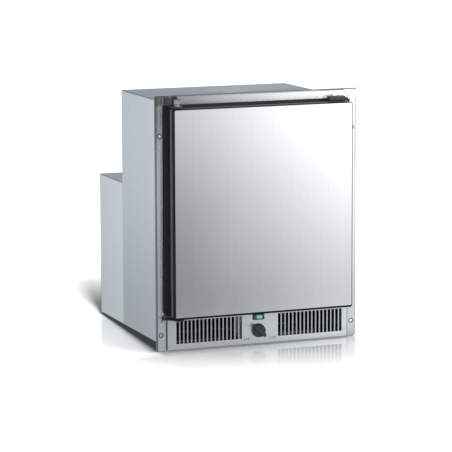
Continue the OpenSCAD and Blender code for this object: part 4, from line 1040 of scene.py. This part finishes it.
def card_material():
    """A reflector seen only in reflections: darker low on the left, bright high on the right, faded at its borders."""
    g = G("reflector_card")
    nt = g.nt
    x, y, z = g.xyz()
    geo = g.node("ShaderNodeNewGeometry")
    px, py, pz = g.xyz(geo.outputs["Position"])
    u = g.rng(px, -0.087, 0.280, 0, 1)
    v = g.rng(pz, 0.010, 0.423, 0, 1)
    lvl = g.math("MULTIPLY_ADD", g.math("POWER", u, 1.3), 0.44, 0.33)
    lvl = g.math("MULTIPLY_ADD", g.math("POWER", v, 1.9), 0.46, lvl)
    lvl = g.math("MULTIPLY_ADD", g.math("MULTIPLY", u, v), 0.72, lvl)
    mid = g.math("MULTIPLY", g.rng(g.math("ABSOLUTE", g.math("SUBTRACT", u, 0.31)), 0, 0.36, 1, 0, True), g.rng(g.math("ABSOLUTE", g.math("SUBTRACT", v, 0.35)), 0, 0.32, 1, 0, True))
    lvl = g.math("MULTIPLY_ADD", mid, 0.036, lvl)
    em = g.node("ShaderNodeEmission")
    em.inputs[0].default_value = (0.97, 0.985, 1.0, 1)
    nt.links.new(lvl, em.inputs[1])
    edge = g.math("MULTIPLY", g.rng(g.math("ABSOLUTE", x), 0.60, 0.75, 1, 0, True), g.rng(g.math("ABSOLUTE", y), 0.36, 0.50, 1, 0, True))
    lp = g.node("ShaderNodeLightPath")
    vis = g.math("MULTIPLY", edge, g.math("MAXIMUM", lp.outputs["Is Glossy Ray"], 0.0))
    tr = g.node("ShaderNodeBsdfTransparent")
    mx = g.node("ShaderNodeMixShader")
    nt.links.new(vis, mx.inputs[0])
    nt.links.new(tr.outputs[0], mx.inputs[1])
    nt.links.new(em.outputs[0], mx.inputs[2])
    nt.links.new(mx.outputs[0], g.out.inputs[0])
    return g.m


card = stage_plane("reflector_front", (1.6, 1.06), Matrix.Translation((0.10, -0.30, 0.36)) @ Matrix.Rotation(math.radians(90), 4, "X"), card_material())
card.visible_camera = False
card.visible_diffuse = False
card.visible_shadow = False
card.visible_transmission = False

def backdrop_material():
    """A low white card far behind, met only by reflections that leave the floor."""
    g = G("backdrop_card")
    nt = g.nt
    em = g.node("ShaderNodeEmission")
    n = g.noise(None, 1.5, 2.0)
    x, y, z = g.xyz()
    drop = g.rng(y, 0.06, 0.20, 1.0, 0.40, True)
    nt.links.new(g.math("MULTIPLY", g.rng(n, 0.0, 1.0, 1.05, 1.12), drop), em.inputs[1])
    nt.links.new(em.outputs[0], g.out.inputs[0])
    return g.m


back = stage_plane("reflector_back", (2.0, 0.40), Matrix.Translation((0.80, 1.0, 0.20)) @ Matrix.Rotation(math.radians(90), 4, "X"), backdrop_material())
back.visible_camera = False
back.visible_diffuse = False
back.visible_shadow = False
back.visible_transmission = False

world = bpy.data.worlds.new("studio")
scene.world = world
world.use_nodes = True
wn = world.node_tree
wn.nodes.clear()
wo = wn.nodes.new("ShaderNodeOutputWorld")
lp = wn.nodes.new("ShaderNodeLightPath")
bg_d = wn.nodes.new("ShaderNodeBackground")
bg_d.inputs[0].default_value = (1.0, 1.0, 1.0, 1)
bg_d.inputs[1].default_value = 0.95
bg_g = wn.nodes.new("ShaderNodeBackground")
tc = wn.nodes.new("ShaderNodeTexCoord")
sep = wn.nodes.new("ShaderNodeSeparateXYZ")
wn.links.new(tc.outputs["Generated"], sep.inputs[0])
mr = wn.nodes.new("ShaderNodeMapRange")
mr.inputs[1].default_value, mr.inputs[2].default_value = 0.30, 0.95
mr.inputs[3].default_value, mr.inputs[4].default_value = 0.35, 1.25
wn.links.new(sep.outputs[2], mr.inputs[0])
bg_g.inputs[0].default_value = (0.90, 0.95, 1.0, 1)
wn.links.new(mr.outputs[0], bg_g.inputs[1])
mx = wn.nodes.new("ShaderNodeMixShader")
wn.links.new(lp.outputs["Is Glossy Ray"], mx.inputs[0])
wn.links.new(bg_d.outputs[0], mx.inputs[1])
wn.links.new(bg_g.outputs[0], mx.inputs[2])
wn.links.new(mx.outputs[0], wo.inputs[0])


def area(name, loc, target, size, power, color=(1, 1, 1)):
    d = bpy.data.lights.new(name, "AREA")
    d.shape = "DISK"
    d.size = size
    d.energy = power
    d.color = color
    o = bpy.data.objects.new(name, d)
    o.location = loc
    o.rotation_mode = "QUATERNION"
    o.rotation_quaternion = (Vector(target) - Vector(loc)).to_track_quat("-Z", "Y")
    COLL.objects.link(o)
    return o


key = area("key_softbox", (1.3, -1.6, 2.2), (0, 0.1, 0.2), 1.4, 42.0, (1.0, 0.99, 0.97))
key.visible_glossy = False
fill = area("fill_softbox", (-2.0, -1.0, 1.6), (0, 0.1, 0.2), 1.6, 14.0, (0.95, 0.98, 1.0))
fill.visible_glossy = False

cam = bpy.data.cameras.new("camera")
cam.sensor_width = 36.0
cam.sensor_fit = "HORIZONTAL"
cam.lens = 196.478
cam.clip_start, cam.clip_end = 0.1, 200.0
co = bpy.data.objects.new("camera", cam)
COLL.objects.link(co)
R = Matrix(((0.9317299859528824, 0.060083894804299876, -0.3581468398037142),
            (-0.363132502413248, 0.1439794641906493, -0.9205458704390922),
            (-0.003744191145481997, 0.9877549491025187, 0.155968399222877)))
co.matrix_world = Matrix.Translation((-1.75948559, -4.3622526, 0.97295139)) @ R.to_4x4()
scene.camera = co
scene.view_settings.view_transform = "Standard"
scene.view_settings.look = "None"

lo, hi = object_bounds()
